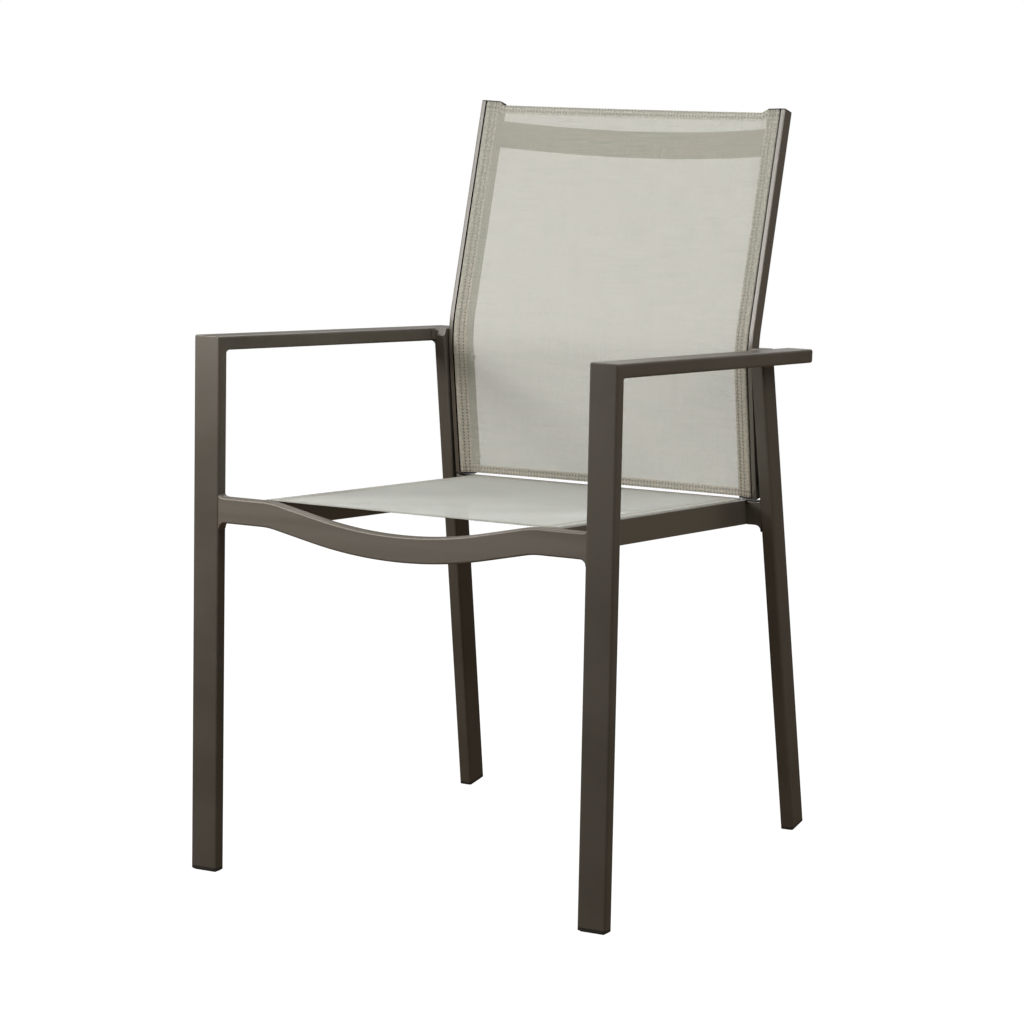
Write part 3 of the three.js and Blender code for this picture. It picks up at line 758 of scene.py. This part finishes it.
lower_length = (back_bend.z - back_rail_low.z) / low_along.z - bend_tangent
upper_length = (back_rail_high.z - back_bend.z) / high_along.z - bend_tangent
bend_start = back_bend - low_along * bend_tangent
bend_centre = bend_start + low_deep * bend_radius
bend_end = back_bend + high_along * bend_tangent
back_foot = bend_start - low_along * lower_length
back_head = bend_end + high_along * upper_length
back_shape = (back_rail_width, back_rail_depth, back_face_fall)
back_rail = rail_outline("back_rail", back_foot + X * back_outer, X, low_deep, *back_shape)
run(low_along * lower_length)
turn(-back_turn, bend_centre, X, bend_steps)
run(high_along * upper_length)
close_ends(back_rail)
pair(back_rail, "back_rail_extrusion", rail_powder, "frame", "back_rail")
paint_slot_shade("back_rail", back_outer)


# Back crossbar: a flat tube between the back rails, near their tops. It is bowed to the rear, so that the
# sling doesn't press on it, and welded at both ends.
back_bar_tall = 0.032
back_bar_deep = 0.014
back_bar_bow = 0.034
back_bar_drop = 0.023
back_bar_inset = 0.005
back_bar_steps = 32
bow_half = back_inner + rail_bite
bow_radius = (bow_half ** 2 + back_bar_bow ** 2) / (2 * back_bar_bow)
bow_reach = math.asin(bow_half / bow_radius)
bow_depth = back_bar_inset + back_bar_deep / 2 + back_bar_bow
bow_centre = back_head - high_along * (back_bar_drop + back_bar_tall / 2)
bow_centre += high_deep * (bow_depth - bow_radius)
bow_way = high_deep * math.cos(bow_reach) - X * math.sin(bow_reach)
bow_along = high_along.cross(bow_way)
bow_start = bow_centre + bow_way * bow_radius
back_bar = oblong("back_crossbar_tube", bow_start, high_along, bow_way,
                  back_bar_tall, back_bar_deep, bar_corner)
slide(back_bar, bow_along, X * -bow_half, X)
turn(-2 * bow_reach, bow_centre, high_along, back_bar_steps)
slide(back_bar, Vector((-bow_along.x, bow_along.y, bow_along.z)), X * bow_half, X)
close_ends(back_bar)
smooth(back_bar)
dress(back_bar, powder, "frame", "back_crossbar")


# Caps of the back rails: moulded plugs of black plastic, pressed into both ends of each rail, with a thin
# plate that follows the rail's outline.
top_cap_flange = 0.0012
bottom_cap_flange = 0.0020
cap_gap = 0.0003
cap_bevel = 0.0005
cap_back_steps = 2


def grained(name, scale, detail, stretch, ramp, deep, lit, roughness, uneven, depth, strength, metallic=0):
    """A material with one fine grain, which varies its colour and its gloss and stands out a little."""
    made, shader, place = new_material(name)
    grain = place.noise(scale, detail, stretch)
    tone = grain.between(*ramp) if ramp else grain
    feed(shader, {
        "Base Color": tone.mix(deep, lit),
        "Roughness": roughness + grain * uneven,
        "Metallic": metallic,
        "Normal": bump(place, grain, depth, strength),
    })
    return made


black = grained("moulded_plastic_black", scale=1500, detail=3, stretch=(1, 1, 1), ramp=(0.3, 0.7),
                deep=(0.016, 0.014, 0.013, 1), lit=(0.030, 0.027, 0.025, 1),
                roughness=0.34, uneven=0.16, depth=0.0002, strength=0.3)
for stem, at, deep, along, cap_flange in (
    ("top", back_head + high_along * cap_gap, high_deep, high_along, top_cap_flange),
    ("bottom", back_foot - low_along * (cap_gap + bottom_cap_flange), low_deep, low_along,
     bottom_cap_flange),
):
    cap = rail_outline("cap", at + X * back_outer, X, deep, *back_shape, slotted=False)
    run(along * cap_flange)
    close_ends(cap)
    bevel_on_plane(cap, at + along * cap_flange, along, cap_bevel)
    bevel_on_plane(cap, at, along, cap_bevel / 2, cap_back_steps)
    pair(cap, f"back_rail_{stem}_plate", black, "plastic", f"back_rail_{stem}_cap")


# Plug of each armrest: black plastic like the caps, a plate with a small bevel and a plug behind it that is
# pressed into the rear end of the tube.
plug_flange = 0.002
plug_bevel = 0.0006
plug_at = arm_end + arm_along * cap_gap
plug_up = arm_along.cross(arm_across)
arm_plug = oblong("arm_plug", plug_at, arm_across, plug_up, tube_wide, tube_thin, tube_corner)
run(arm_along * (plug_flange - cap_gap))
close_ends(arm_plug)
bevel_on_plane(arm_plug, arm_end + arm_along * plug_flange, arm_along, plug_bevel)
pair(arm_plug, "armrest_plug_plate", black, "plastic", "armrest_plug")


# Glides: black plastic feet pressed into the legs, round at the edge, with a pad that meets the floor.
# Those of the raked legs are cut flat at the floor.
glide_flange = 0.004
glide_bevel = 0.0015
glide_bevel_steps = 4
glide_pad_inset = 0.003
glide_pad_height = 0.0012


def glide(stem, at, across, deep, up):
    foot = oblong("foot", at - up * cap_gap, across, deep, tube_wide, tube_thin, tube_corner)
    run(up * (cap_gap - glide_flange))
    close_ends(foot)
    under = at - up * glide_flange
    bevel_on_plane(foot, under, up, glide_bevel, glide_bevel_steps)
    edit(foot)
    select_on_plane(foot, "faces", under, up)
    bpy.ops.mesh.inset(thickness=glide_pad_inset - glide_bevel)
    run(up * -glide_pad_height)
    bpy.ops.mesh.select_all(action="SELECT")
    bpy.ops.mesh.bisect(
        plane_co=(0, 0, 0), plane_no=Z, use_fill=True, clear_inner=True, threshold=merge_reach,
    )
    face_outwards()
    pair(foot, f"{stem}_foot", black, "plastic", stem)


glide("front_glide", leg_foot, X, Y, Z)
glide("rear_glide", rear_foot, leg_wide, leg_thin, leg_up)


# Bolts of the back: steel, with a low domed head and a hexagon socket, through the rail and a plastic
# sleeve into a threaded insert in the leg. The sleeves and inserts are hidden between rail and leg.
head_radius = 0.0052
head_height = 0.0034
head_dome = 0.0026
head_sides = 48
dome_steps = 7
socket_radius = 0.0016
socket_depth = 0.0016
steel = grained("brushed_steel", scale=1200, detail=3, stretch=(0.05, 1, 1), ramp=None,
                deep=(0.42, 0.41, 0.40, 1), lit=(0.58, 0.57, 0.55, 1),
                roughness=0.28, uneven=0.2, depth=0.00005, strength=0.4, metallic=1)


def on_hexagon(at):
    """Where a point of the ring on the bolt's face goes, to make the rim of the socket."""
    angle = math.atan2(at.z - bolt_face.z, at.y - bolt_face.y)
    side = socket_radius * math.cos(math.pi / 6) / math.cos(angle % (math.pi / 3) - math.pi / 6)
    return Vector((at.x, bolt_face.y + side * math.cos(angle), bolt_face.z + side * math.sin(angle)))


for level in ("upper", "lower"):
    bolt_low, bolt_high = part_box(f"back_bolt_{level}_right")
    bolt_face = Vector((back_inner - head_height + cap_gap, *((bolt_low + bolt_high) / 2).yz))
    put_down()
    bpy.ops.mesh.primitive_cylinder_add(
        vertices=head_sides, radius=head_radius, depth=head_height,
        location=bolt_face + X * head_height / 2, rotation=(0, math.pi / 2, 0),
    )
    bolt = bpy.context.object
    bpy.ops.object.transform_apply(location=True, rotation=True, scale=True)
    bevel_on_plane(bolt, bolt_face, X, head_dome, dome_steps)
    edit(bolt)
    select_on_plane(bolt, "faces", bolt_face, X)
    bpy.ops.mesh.inset(thickness=head_radius - head_dome - socket_radius)
    move_selected(bolt, on_hexagon)
    run(X * socket_depth)
    face_outwards()
    pair(bolt, f"back_bolt_head_{level}", steel, "steel", f"back_bolt_{level}")


# Thread of the seams: twisted and bonded polyester in a pale brown, sewn through the cloth and its hems in
# locked stitches that dip in at each end and draw a groove along the seam.
stitch_pitch = 0.0042
stitch_length = 0.0026
thread_radius = 0.00026
thread_sides = 6
thread_end = 0.5
groove_ramp = (2, 4.5)
needle_ramp = (0.2, -0.7)
between_holes = 0.07
thread = grained("sewing_thread", scale=2500, detail=2, stretch=(1, 0.3, 1), ramp=(0.3, 0.7),
                 deep=(0.36, 0.33, 0.27, 1), lit=(0.50, 0.47, 0.39, 1),
                 roughness=0.55, uneven=0.15, depth=0.0001, strength=0.5)


def one_stitch():
    """A short arch of thread along the Y axis, thin at its ends."""
    put_down()
    bpy.ops.mesh.primitive_circle_add(
        vertices=thread_sides, radius=thread_radius, fill_type="NGON",
        location=(0, -stitch_length / 2, 0), rotation=(math.pi / 2, 0, 0),
    )
    stitch = bpy.context.object
    bpy.ops.object.transform_apply(location=True, rotation=True, scale=True)
    edit(stitch)
    middle = Vector((0, -stitch_length / 2, 0))
    bpy.ops.transform.resize(value=(thread_end, thread_end, thread_end), center_override=middle)
    for rise, share in ((1, 1 / thread_end), (1 / 3, 1), (-1 / 3, 1), (-1, thread_end)):
        ahead = Vector((0, stitch_length / 4, thread_radius * rise))
        run(ahead)
        middle += ahead
        bpy.ops.transform.resize(value=(share, share, share), center_override=middle)
    face_outwards()
    return stitch


def stitch_row(model, start, across, length, lift, way):
    """A row of copies of one stitch on the flat cloth, on its face or, turned over, on its back."""
    pick_up(model)
    bpy.ops.object.duplicate()
    row = bpy.context.object
    line = row.modifiers.new("line", "ARRAY")
    line.use_relative_offset, line.use_constant_offset = False, True
    line.constant_offset_displace = (0, stitch_pitch, 0)
    line.count = int(length / stitch_pitch)
    bpy.ops.object.modifier_apply(modifier=line.name)
    aside = Matrix.Rotation(-math.pi / 2 if across else 0, 4, "Z")
    over = Matrix.Rotation(math.pi if way < 0 else 0, 4, "Y")
    row.matrix_world = Matrix.Translation((*start, way * lift)) @ aside @ over
    bpy.ops.object.transform_apply(location=True, rotation=True, scale=True)
    put_down()
    return row


def seam(across, along, wide):
    """The groove that a row of stitches pulls into the cloth, deepest at the needle's holes.
    It dents the cloth, and its dark colour is painted shade.
    """
    near, far = [thread_radius * wide * edge for edge in groove_ramp]
    groove = 1 - across.alone("ABSOLUTE").between(near, far)
    needle = (along * (2 * math.pi / stitch_pitch)).alone("COSINE").between(*needle_ramp)
    return groove * (between_holes + needle * (1 - between_holes))


# Slings: cloth of coated polyester yarn in an open plain weave, which lets some light through. Each side is
# hemmed round a plastic cord in the rail's channel. The free edges are folded back, and all hems are sewn
# with two rows of the thread.
cloth_gap = 0.0003
cloth_leaves = 0.005
cloth_room = 0.001
cloth_thickness = 0.0003
cloth_tuck = 0.0029
slot_lead = 1.5 * slot_width
slot_hug = 0.0003
layer_lift = 0.00020
fold_reach = 0.00022
column_wide = 0.005
column_narrow = 0.0006
bend_columns = (-1.5, -0.5, 0.5, 1.5)
flap_column = 0.002
row_step = 0.005
tuck_zone = 0.012
side_hem = 0.0168
side_rows = (0.0070, 0.0128)
ridge_reach = 0.003
fold_steps = 6
edge_turn = 0.006
cloth_smooth = math.radians(50)
yarn_pitch = 0.0009
hole_edge = 0.12
crossing_sharp = 1.5
crossing_ramp = (-0.5, 0.5)
yarn_dip = 0.65
weave_depth = 0.00025
weave_height = 0.6
weave_strength = 0.6
weft_share = 0.6
slub_grain = (20, 40)
slub_ramp = (0.38, 0.62)
slub_dulls = 0.16
blush_grain = (8, 14)
blush_ramp = (0.42, 0.60)
blush_share = 0.8
hem_blur = 0.0003
low_zone = (0.08, 0.40)
pale_hem = (0.88, 0.86, 0.74, 1)
mottle_scale = 330
mottle_ramp = (0.42, 0.62)
mottle_high = 0.34
mottle_low = 0.50
side_groove = 1.2
side_pull_high = 0.45
hem_groove = 1.7
hem_pull_high = 0.75
groove_depth = 1.5
# How far the seams' grooves and needle holes are painted towards the dark brown of painted shade.
groove_shade_share = 0.88
painted_groove_shade = (0.165, 0.135, 0.095, 1)
cloth_roughness = 0.60
cloth_gloss = 0.30
cloth_through = 0.14


class Sling:
    """A cloth between two rails. Its pieces are made flat, x across and y along, and are then laid."""

    def __init__(self, outer, width, fall, station, length, sags, dips, hem, hem_lines):
        """For rails of a given outer side, width and fall of the face, whose line a station gives."""
        edge = outer - rail_lip - slot_width
        rest = -cloth_gap - cloth_room / 2
        self.knots = [
            (0, fall + rest),
            (outer - width + cloth_leaves, fall + rest),
            (edge - slot_lead, rest),
            (edge - slot_hug, rest),
            (edge + slot_hug / 2, rest / 2),
            (edge + slot_hug, -rest),
            (edge + slot_hug, cloth_tuck),
        ]
        self.ways = [0]
        for before, after in zip(self.knots, self.knots[1:]):
            self.ways.append(self.ways[-1] + math.dist(before, after))
        self.half = self.ways[-1]
        self.mouth = self.ways[3]
        self.inner = outer - width
        self.station, self.length = station, length
        self.edge_sag, self.middle_sag = sags
        self.low_dip, self.high_dip = dips
        self.hem, self.hem_lines = hem, hem_lines

    def profile(self, u):
        """The place across the chair, and the depth, at a way from the middle."""
        u = min(max(u, 0), self.half)
        k = next(k for k, way in enumerate(self.ways) if k and u <= way)
        share = (u - self.ways[k - 1]) / (self.ways[k] - self.ways[k - 1])
        return [a + (b - a) * share for a, b in zip(self.knots[k - 1], self.knots[k])]

    def softened(self, u):
        """The profile with its corners rounded by what the cloth can bend."""
        around = [self.profile(abs(u + step * column_narrow)) for step in bend_columns]
        return [sum(place[k] for place in around) / len(around) for k in (0, 1)]

    def place(self, u, s, lift):
        """Where a point of the flat cloth lies, once its free edges are drawn in and it hangs a little."""
        side = 1 if u >= 0 else -1
        x, depth = self.softened(abs(u))
        ahead, behind = self.softened(abs(u) + column_narrow), self.softened(abs(u) - column_narrow)
        lean = math.atan2(ahead[1] - behind[1], ahead[0] - behind[0]) if abs(u) > column_wide else 0
        share = min(max(s / self.length, 0), 1)
        freedom = max(1 - (x / self.inner) ** 2, 0)
        hang = self.edge_sag + (self.middle_sag - self.edge_sag) * 4 * share * (1 - share)
        depth += freedom * hang - lift * math.cos(lean)
        x += lift * math.sin(lean)
        drawn = min(max((self.inner - x) / edge_turn, 0), 1)
        drawn *= drawn * (3 - 2 * drawn)
        at, deep = self.station(s + drawn * (self.low_dip * (1 - share) ** 4 - self.high_dip * share ** 4))
        return at + X * side * x + deep * depth

    def ridge(self, u, s):
        """How far the cloth stands out where a hem is folded back behind it."""
        beyond = min(self.mouth - side_hem - abs(u), min(s, self.length - s) - self.hem)
        share = min(max(beyond / ridge_reach + 0.5, 0), 1)
        return layer_lift * (1 - share * share * (3 - 2 * share))

    def columns(self):
        """Places across the cloth, close together at the hem's edge and where it turns into the slot."""
        half = [0]
        hem_edge = self.mouth - side_hem
        while half[-1] < self.half:
            near_hem = abs(half[-1] - hem_edge) < ridge_reach
            wide = half[-1] < self.half - tuck_zone - column_wide and not near_hem
            half.append(min(half[-1] + (column_wide / 2 if wide else column_narrow), self.half))
        return [-u for u in reversed(half[1:])] + half

    def rows(self):
        """Places along the cloth, close together at the edges of the hems."""
        places = evenly(self.hem + ridge_reach, self.length - self.hem - ridge_reach, row_step)
        low = evenly(0, self.hem + ridge_reach, ridge_reach / 3)[:-1]
        return low + places + [self.length - s for s in reversed(low)]

    def lay(self, piece):
        """Keeps the flat places as the piece's UV map, and moves its points onto the rails."""
        mesh = piece.data
        flat = mesh.uv_layers.new(name="flat") if not mesh.uv_layers else mesh.uv_layers[0]
        flat.name = "flat"
        for corner in mesh.loops:
            flat.data[corner.index].uv = mesh.vertices[corner.vertex_index].co.xy
        for vertex in mesh.vertices:
            vertex.co = self.place(*vertex.co)


def evenly(first, last, step):
    count = max(1, round((last - first) / step))
    return [first + (last - first) * k / count for k in range(count + 1)]


def flat_cloth(name, columns, rows, lift=None):
    """A flat sheet with a point for each column and each row, a row being a way along and a lift."""
    put_down()
    across, along = len(columns) - 1, len(rows) - 1
    bpy.ops.mesh.primitive_grid_add(x_subdivisions=across, y_subdivisions=along, size=1)
    sheet = bpy.context.object
    sheet.name = name
    for vertex in sheet.data.vertices:
        i, j = round((vertex.co.x + 0.5) * across), round((vertex.co.y + 0.5) * along)
        vertex.co = (columns[i], *rows[j])
        if lift:
            vertex.co.z = lift(columns[i], rows[j][0])
    return sheet


def thicken(piece):
    pick_up(piece)
    weight = piece.modifiers.new("weight", "SOLIDIFY")
    weight.thickness, weight.offset = cloth_thickness, 0
    bpy.ops.object.modifier_apply(modifier=weight.name)
    bpy.ops.object.shade_smooth_by_angle(angle=cloth_smooth)
    put_down()


def streaks(flat, scale, length):
    """Noise drawn out along the yarns, a little stronger along the weft."""
    along_weft, along_warp = [flat.noise(scale, 2, stretch) for stretch in ((1, length, 1), (length, 1, 1))]
    return along_weft * weft_share + along_warp * (1 - weft_share)


def cloth_material(name, sling, gap, pale, deep, pink, glow, low_hem):
    """Open plain weave of coated yarn, drawn on the flat cloth, with streaks and the pull of the seams.
    The seams' grooves are painted dark as painted shade.
    """
    made, shader, place = new_material(name)
    flat = place.node("UVMap", {"uv_map": "flat"}, {})
    u, v = [flat.node("SeparateXYZ", {}, {0: flat}, axis) for axis in (0, 1)]
    warp, weft = [(way * (math.pi / yarn_pitch)).alone("SINE") for way in (u, v)]
    warp_round, weft_round = warp.alone("ABSOLUTE"), weft.alone("ABSOLUTE")
    over = (warp * weft * crossing_sharp).between(*crossing_ramp)
    warp_height = warp_round * (1 - yarn_dip + over * yarn_dip)
    height = warp.sum("MAXIMUM", warp_height, weft_round * (1 - over * yarn_dip))
    beside_warp, beside_weft = [1 - yarn.between(gap - hole_edge, gap) for yarn in (warp_round, weft_round)]
    slub = streaks(flat, *slub_grain)
    tone = slub.between(*slub_ramp).mix(deep, pale)
    tone = (streaks(flat, *blush_grain).between(*blush_ramp) * blush_share).mix(tone, pink)
    from_side, from_end = u.alone("ABSOLUTE"), (v - sling.length / 2).alone("ABSOLUTE")
    side_start, end_start = sling.mouth - side_hem, sling.length / 2 - sling.hem
    side_layers = from_side.between(side_start - hem_blur, side_start)
    end_layers = from_end.between(end_start - hem_blur, end_start)
    # Towards the low end of each sling the hems' mottle and seams grow stronger.
    low_down = 1 - v.between(*low_zone)
    mottle = flat.noise(mottle_scale, 1).between(*mottle_ramp)
    mottle = mottle * (mottle_high + low_down * (mottle_low - mottle_high))
    layers = u.sum("MAXIMUM", side_layers, end_layers)
    # Towards the low end of each sling the hems take a darker colour, browner on the back: painted shade.
    tone = (layers * mottle).mix(tone, low_down.mix(pale_hem, low_hem))
    side_pull, hem_pull = [high + low_down * (1 - high) for high in (side_pull_high, hem_pull_high)]
    pull = 0
    for line in side_rows:
        pull = pull + seam(from_side - (sling.mouth - line), v, side_groove) * side_pull
    for line in sling.hem_lines:
        pull = pull + seam(from_end - (sling.length / 2 - line), u, hem_groove) * hem_pull
    feed(shader, {
        # The seams' grooves and needle holes are painted dark brown: painted shade.
        "Base Color": (pull * groove_shade_share).mix(tone, painted_groove_shade),
        "Roughness": cloth_roughness + slub * slub_dulls,
        "Specular IOR Level": cloth_gloss,
        "Normal": bump(place, height * weave_height - pull * groove_depth, weave_depth, weave_strength),
    })
    shine = place.node("BsdfTranslucent", {}, {"Color": glow})
    lit = place.node("MixShader", {}, {0: cloth_through, 1: Shade(place.tree, shader.outputs[0]), 2: shine})
    clear = place.node("BsdfTransparent", {}, {})
    whole = place.node("MixShader", {}, {0: beside_warp * beside_weft, 1: lit, 2: clear})
    output = made.node_tree.nodes["Material Output"]
    made.node_tree.links.new(whole.socket, output.inputs["Surface"])
    return made


def sew(sling, stem):
    """The rows of stitches along both rails and both free edges. Only the open cloth shows them behind."""
    model = one_stitch()
    lift = layer_lift + cloth_thickness / 2
    open_half = sling.inner - side_hem / 4
    along, across = sling.length - stitch_pitch, 2 * sling.mouth - stitch_pitch
    rows = []
    for line in side_rows:
        for u in (line - sling.mouth, sling.mouth - line):
            for way in (1, -1) if abs(u) < open_half else (1,):
                rows.append(stitch_row(model, (u, stitch_pitch), False, along, lift, way))
    for line in sling.hem_lines:
        for s in (line, sling.length - line):
            rows.append(stitch_row(model, (stitch_pitch - sling.mouth, s), True, across, lift, 1))
            rows.append(stitch_row(model, (-open_half, s), True, 2 * open_half, lift, -1))
    put_down()
    for row in rows:
        row.select_set(True)
    bpy.context.view_layer.objects.active = rows[0]
    bpy.ops.object.join()
    seams = bpy.context.object
    seams.name = f"{stem}_sling_stitches"
    sling.lay(seams)
    bpy.ops.object.shade_smooth()
    put_down()
    bpy.data.objects.remove(model)
    dress(seams, thread, f"{stem}_cloth")
    return seams


def hem_rows(edge, reach):
    """Rows of a folded hem: round the fold at the free edge, and back under the cloth."""
    way = math.copysign(1, reach)
    rows = [(edge - way * fold_reach * math.sin(angle), layer_lift * math.cos(angle))
            for angle in evenly(0, math.pi, math.pi / fold_steps)]
    return rows + [(s, -layer_lift) for s in evenly(edge, edge + reach, reach / fold_steps)[1:]]


def sling_pieces(sling, stem, cloth):
    """The main cloth with a folded hem at each free edge, a flap along each rail and the seams."""
    columns = sling.columns()
    main = flat_cloth(f"{stem}_sling_cloth", columns, [(s, 0) for s in sling.rows()], sling.ridge)
    inside = [u for u in columns if abs(u) < sling.mouth - column_narrow]
    low_hem = flat_cloth(f"{stem}_sling_low_hem", inside, hem_rows(0, sling.hem))
    high_hem = flat_cloth(f"{stem}_sling_high_hem", inside, hem_rows(sling.length, -sling.hem))
    flaps = []
    for name, side in (("left", -1), ("right", 1)):
        flap_columns = sorted(side * u for u in evenly(sling.mouth - side_hem, sling.mouth, flap_column))
        flap_rows = [(s, -layer_lift) for s in evenly(sling.hem, sling.length - sling.hem, row_step)]
        flaps.append(flat_cloth(f"{stem}_sling_flap_{name}", flap_columns, flap_rows))
    parts = [main, low_hem, high_hem, *flaps]
    for part in parts:
        sling.lay(part)
        thicken(part)
        dress(part, cloth, f"{stem}_cloth", f"{stem}_sling")
    seams = sew(sling, stem)


# Back sling: the cloth of the back, laid over the front faces of the back rails and slack enough to follow
# their bend. It was slid into the rails' slots from one end.
back_cloth_top = 0.0008
back_cloth_bottom = 0.0006
back_sags = (0.0025, 0.007)
back_dips = (0, 0.0036)
back_hem = 0.0105
back_hem_lines = (0.0010, 0.0064)
back_start = lower_length - back_cloth_bottom


def back_station(s):
    """The line of the rail's face at a way up the cloth, and the direction into the rail."""
    way = s - back_start
    if way <= 0:
        return bend_start + low_along * way, low_deep
    if way >= bend_way:
        return bend_end + high_along * (way - bend_way), high_deep
    lean = way / bend_radius - lower_lean
    deep = Vector((0, math.cos(lean), -math.sin(lean)))
    return bend_centre - deep * bend_radius, deep


back_length = back_start + bend_way + upper_length - back_cloth_top
back_sling = Sling(back_outer, back_rail_width, back_face_fall, back_station, back_length,
                   back_sags, back_dips, back_hem, back_hem_lines)
back_cloth = cloth_material(
    "sling_cloth_back", back_sling, gap=0.84, pale=(0.52, 0.52, 0.445, 1), deep=(0.415, 0.42, 0.36, 1),
    pink=(0.505, 0.483, 0.41, 1), glow=(0.57, 0.56, 0.475, 1), low_hem=(0.84, 0.69, 0.52, 1),
)
sling_pieces(back_sling, "back", back_cloth)


# Seat sling: the same cloth in a cooler shade, held in the slots of the seat rails in the same way, and
# flatter and tighter than the back.
seat_cloth_front = 0.009
seat_cloth_rear = 0.0015
seat_sags = (0, 0.005)
seat_dips = (0, 0.0005)
seat_hem = 0.010
seat_hem_lines = (0.0018, 0.0065)
seat_cloth_start = seat_front + seat_along * seat_cloth_front
seat_cloth_start.x = 0


def seat_station(s):
    return seat_cloth_start + seat_along * s, seat_deep


seat_length = (seat_rear - seat_front).length - seat_cloth_front - seat_cloth_rear
seat_sling = Sling(seat_outer, seat_rail_width, seat_face_fall, seat_station, seat_length,
                   seat_sags, seat_dips, seat_hem, seat_hem_lines)
seat_cloth = cloth_material(
    "sling_cloth_seat", seat_sling, gap=0.66, pale=(0.54, 0.555, 0.515, 1), deep=(0.465, 0.482, 0.447, 1),
    pink=(0.525, 0.515, 0.475, 1), glow=(0.58, 0.59, 0.55, 1), low_hem=(0.66, 0.65, 0.59, 1),
)
sling_pieces(seat_sling, "seat", seat_cloth)


# What stays as it is in the frame, hidden in the rails and between rail and leg: the edge cords, the
# plastic sleeves of the bolts and their threaded inserts.
for name, finish in (("cord", black), ("spacer", black), ("insert", steel)):
    for node, piece in frame["nodes"].items():
        if name in node:
            piece.data.materials.clear()
            piece.data.materials.append(finish)
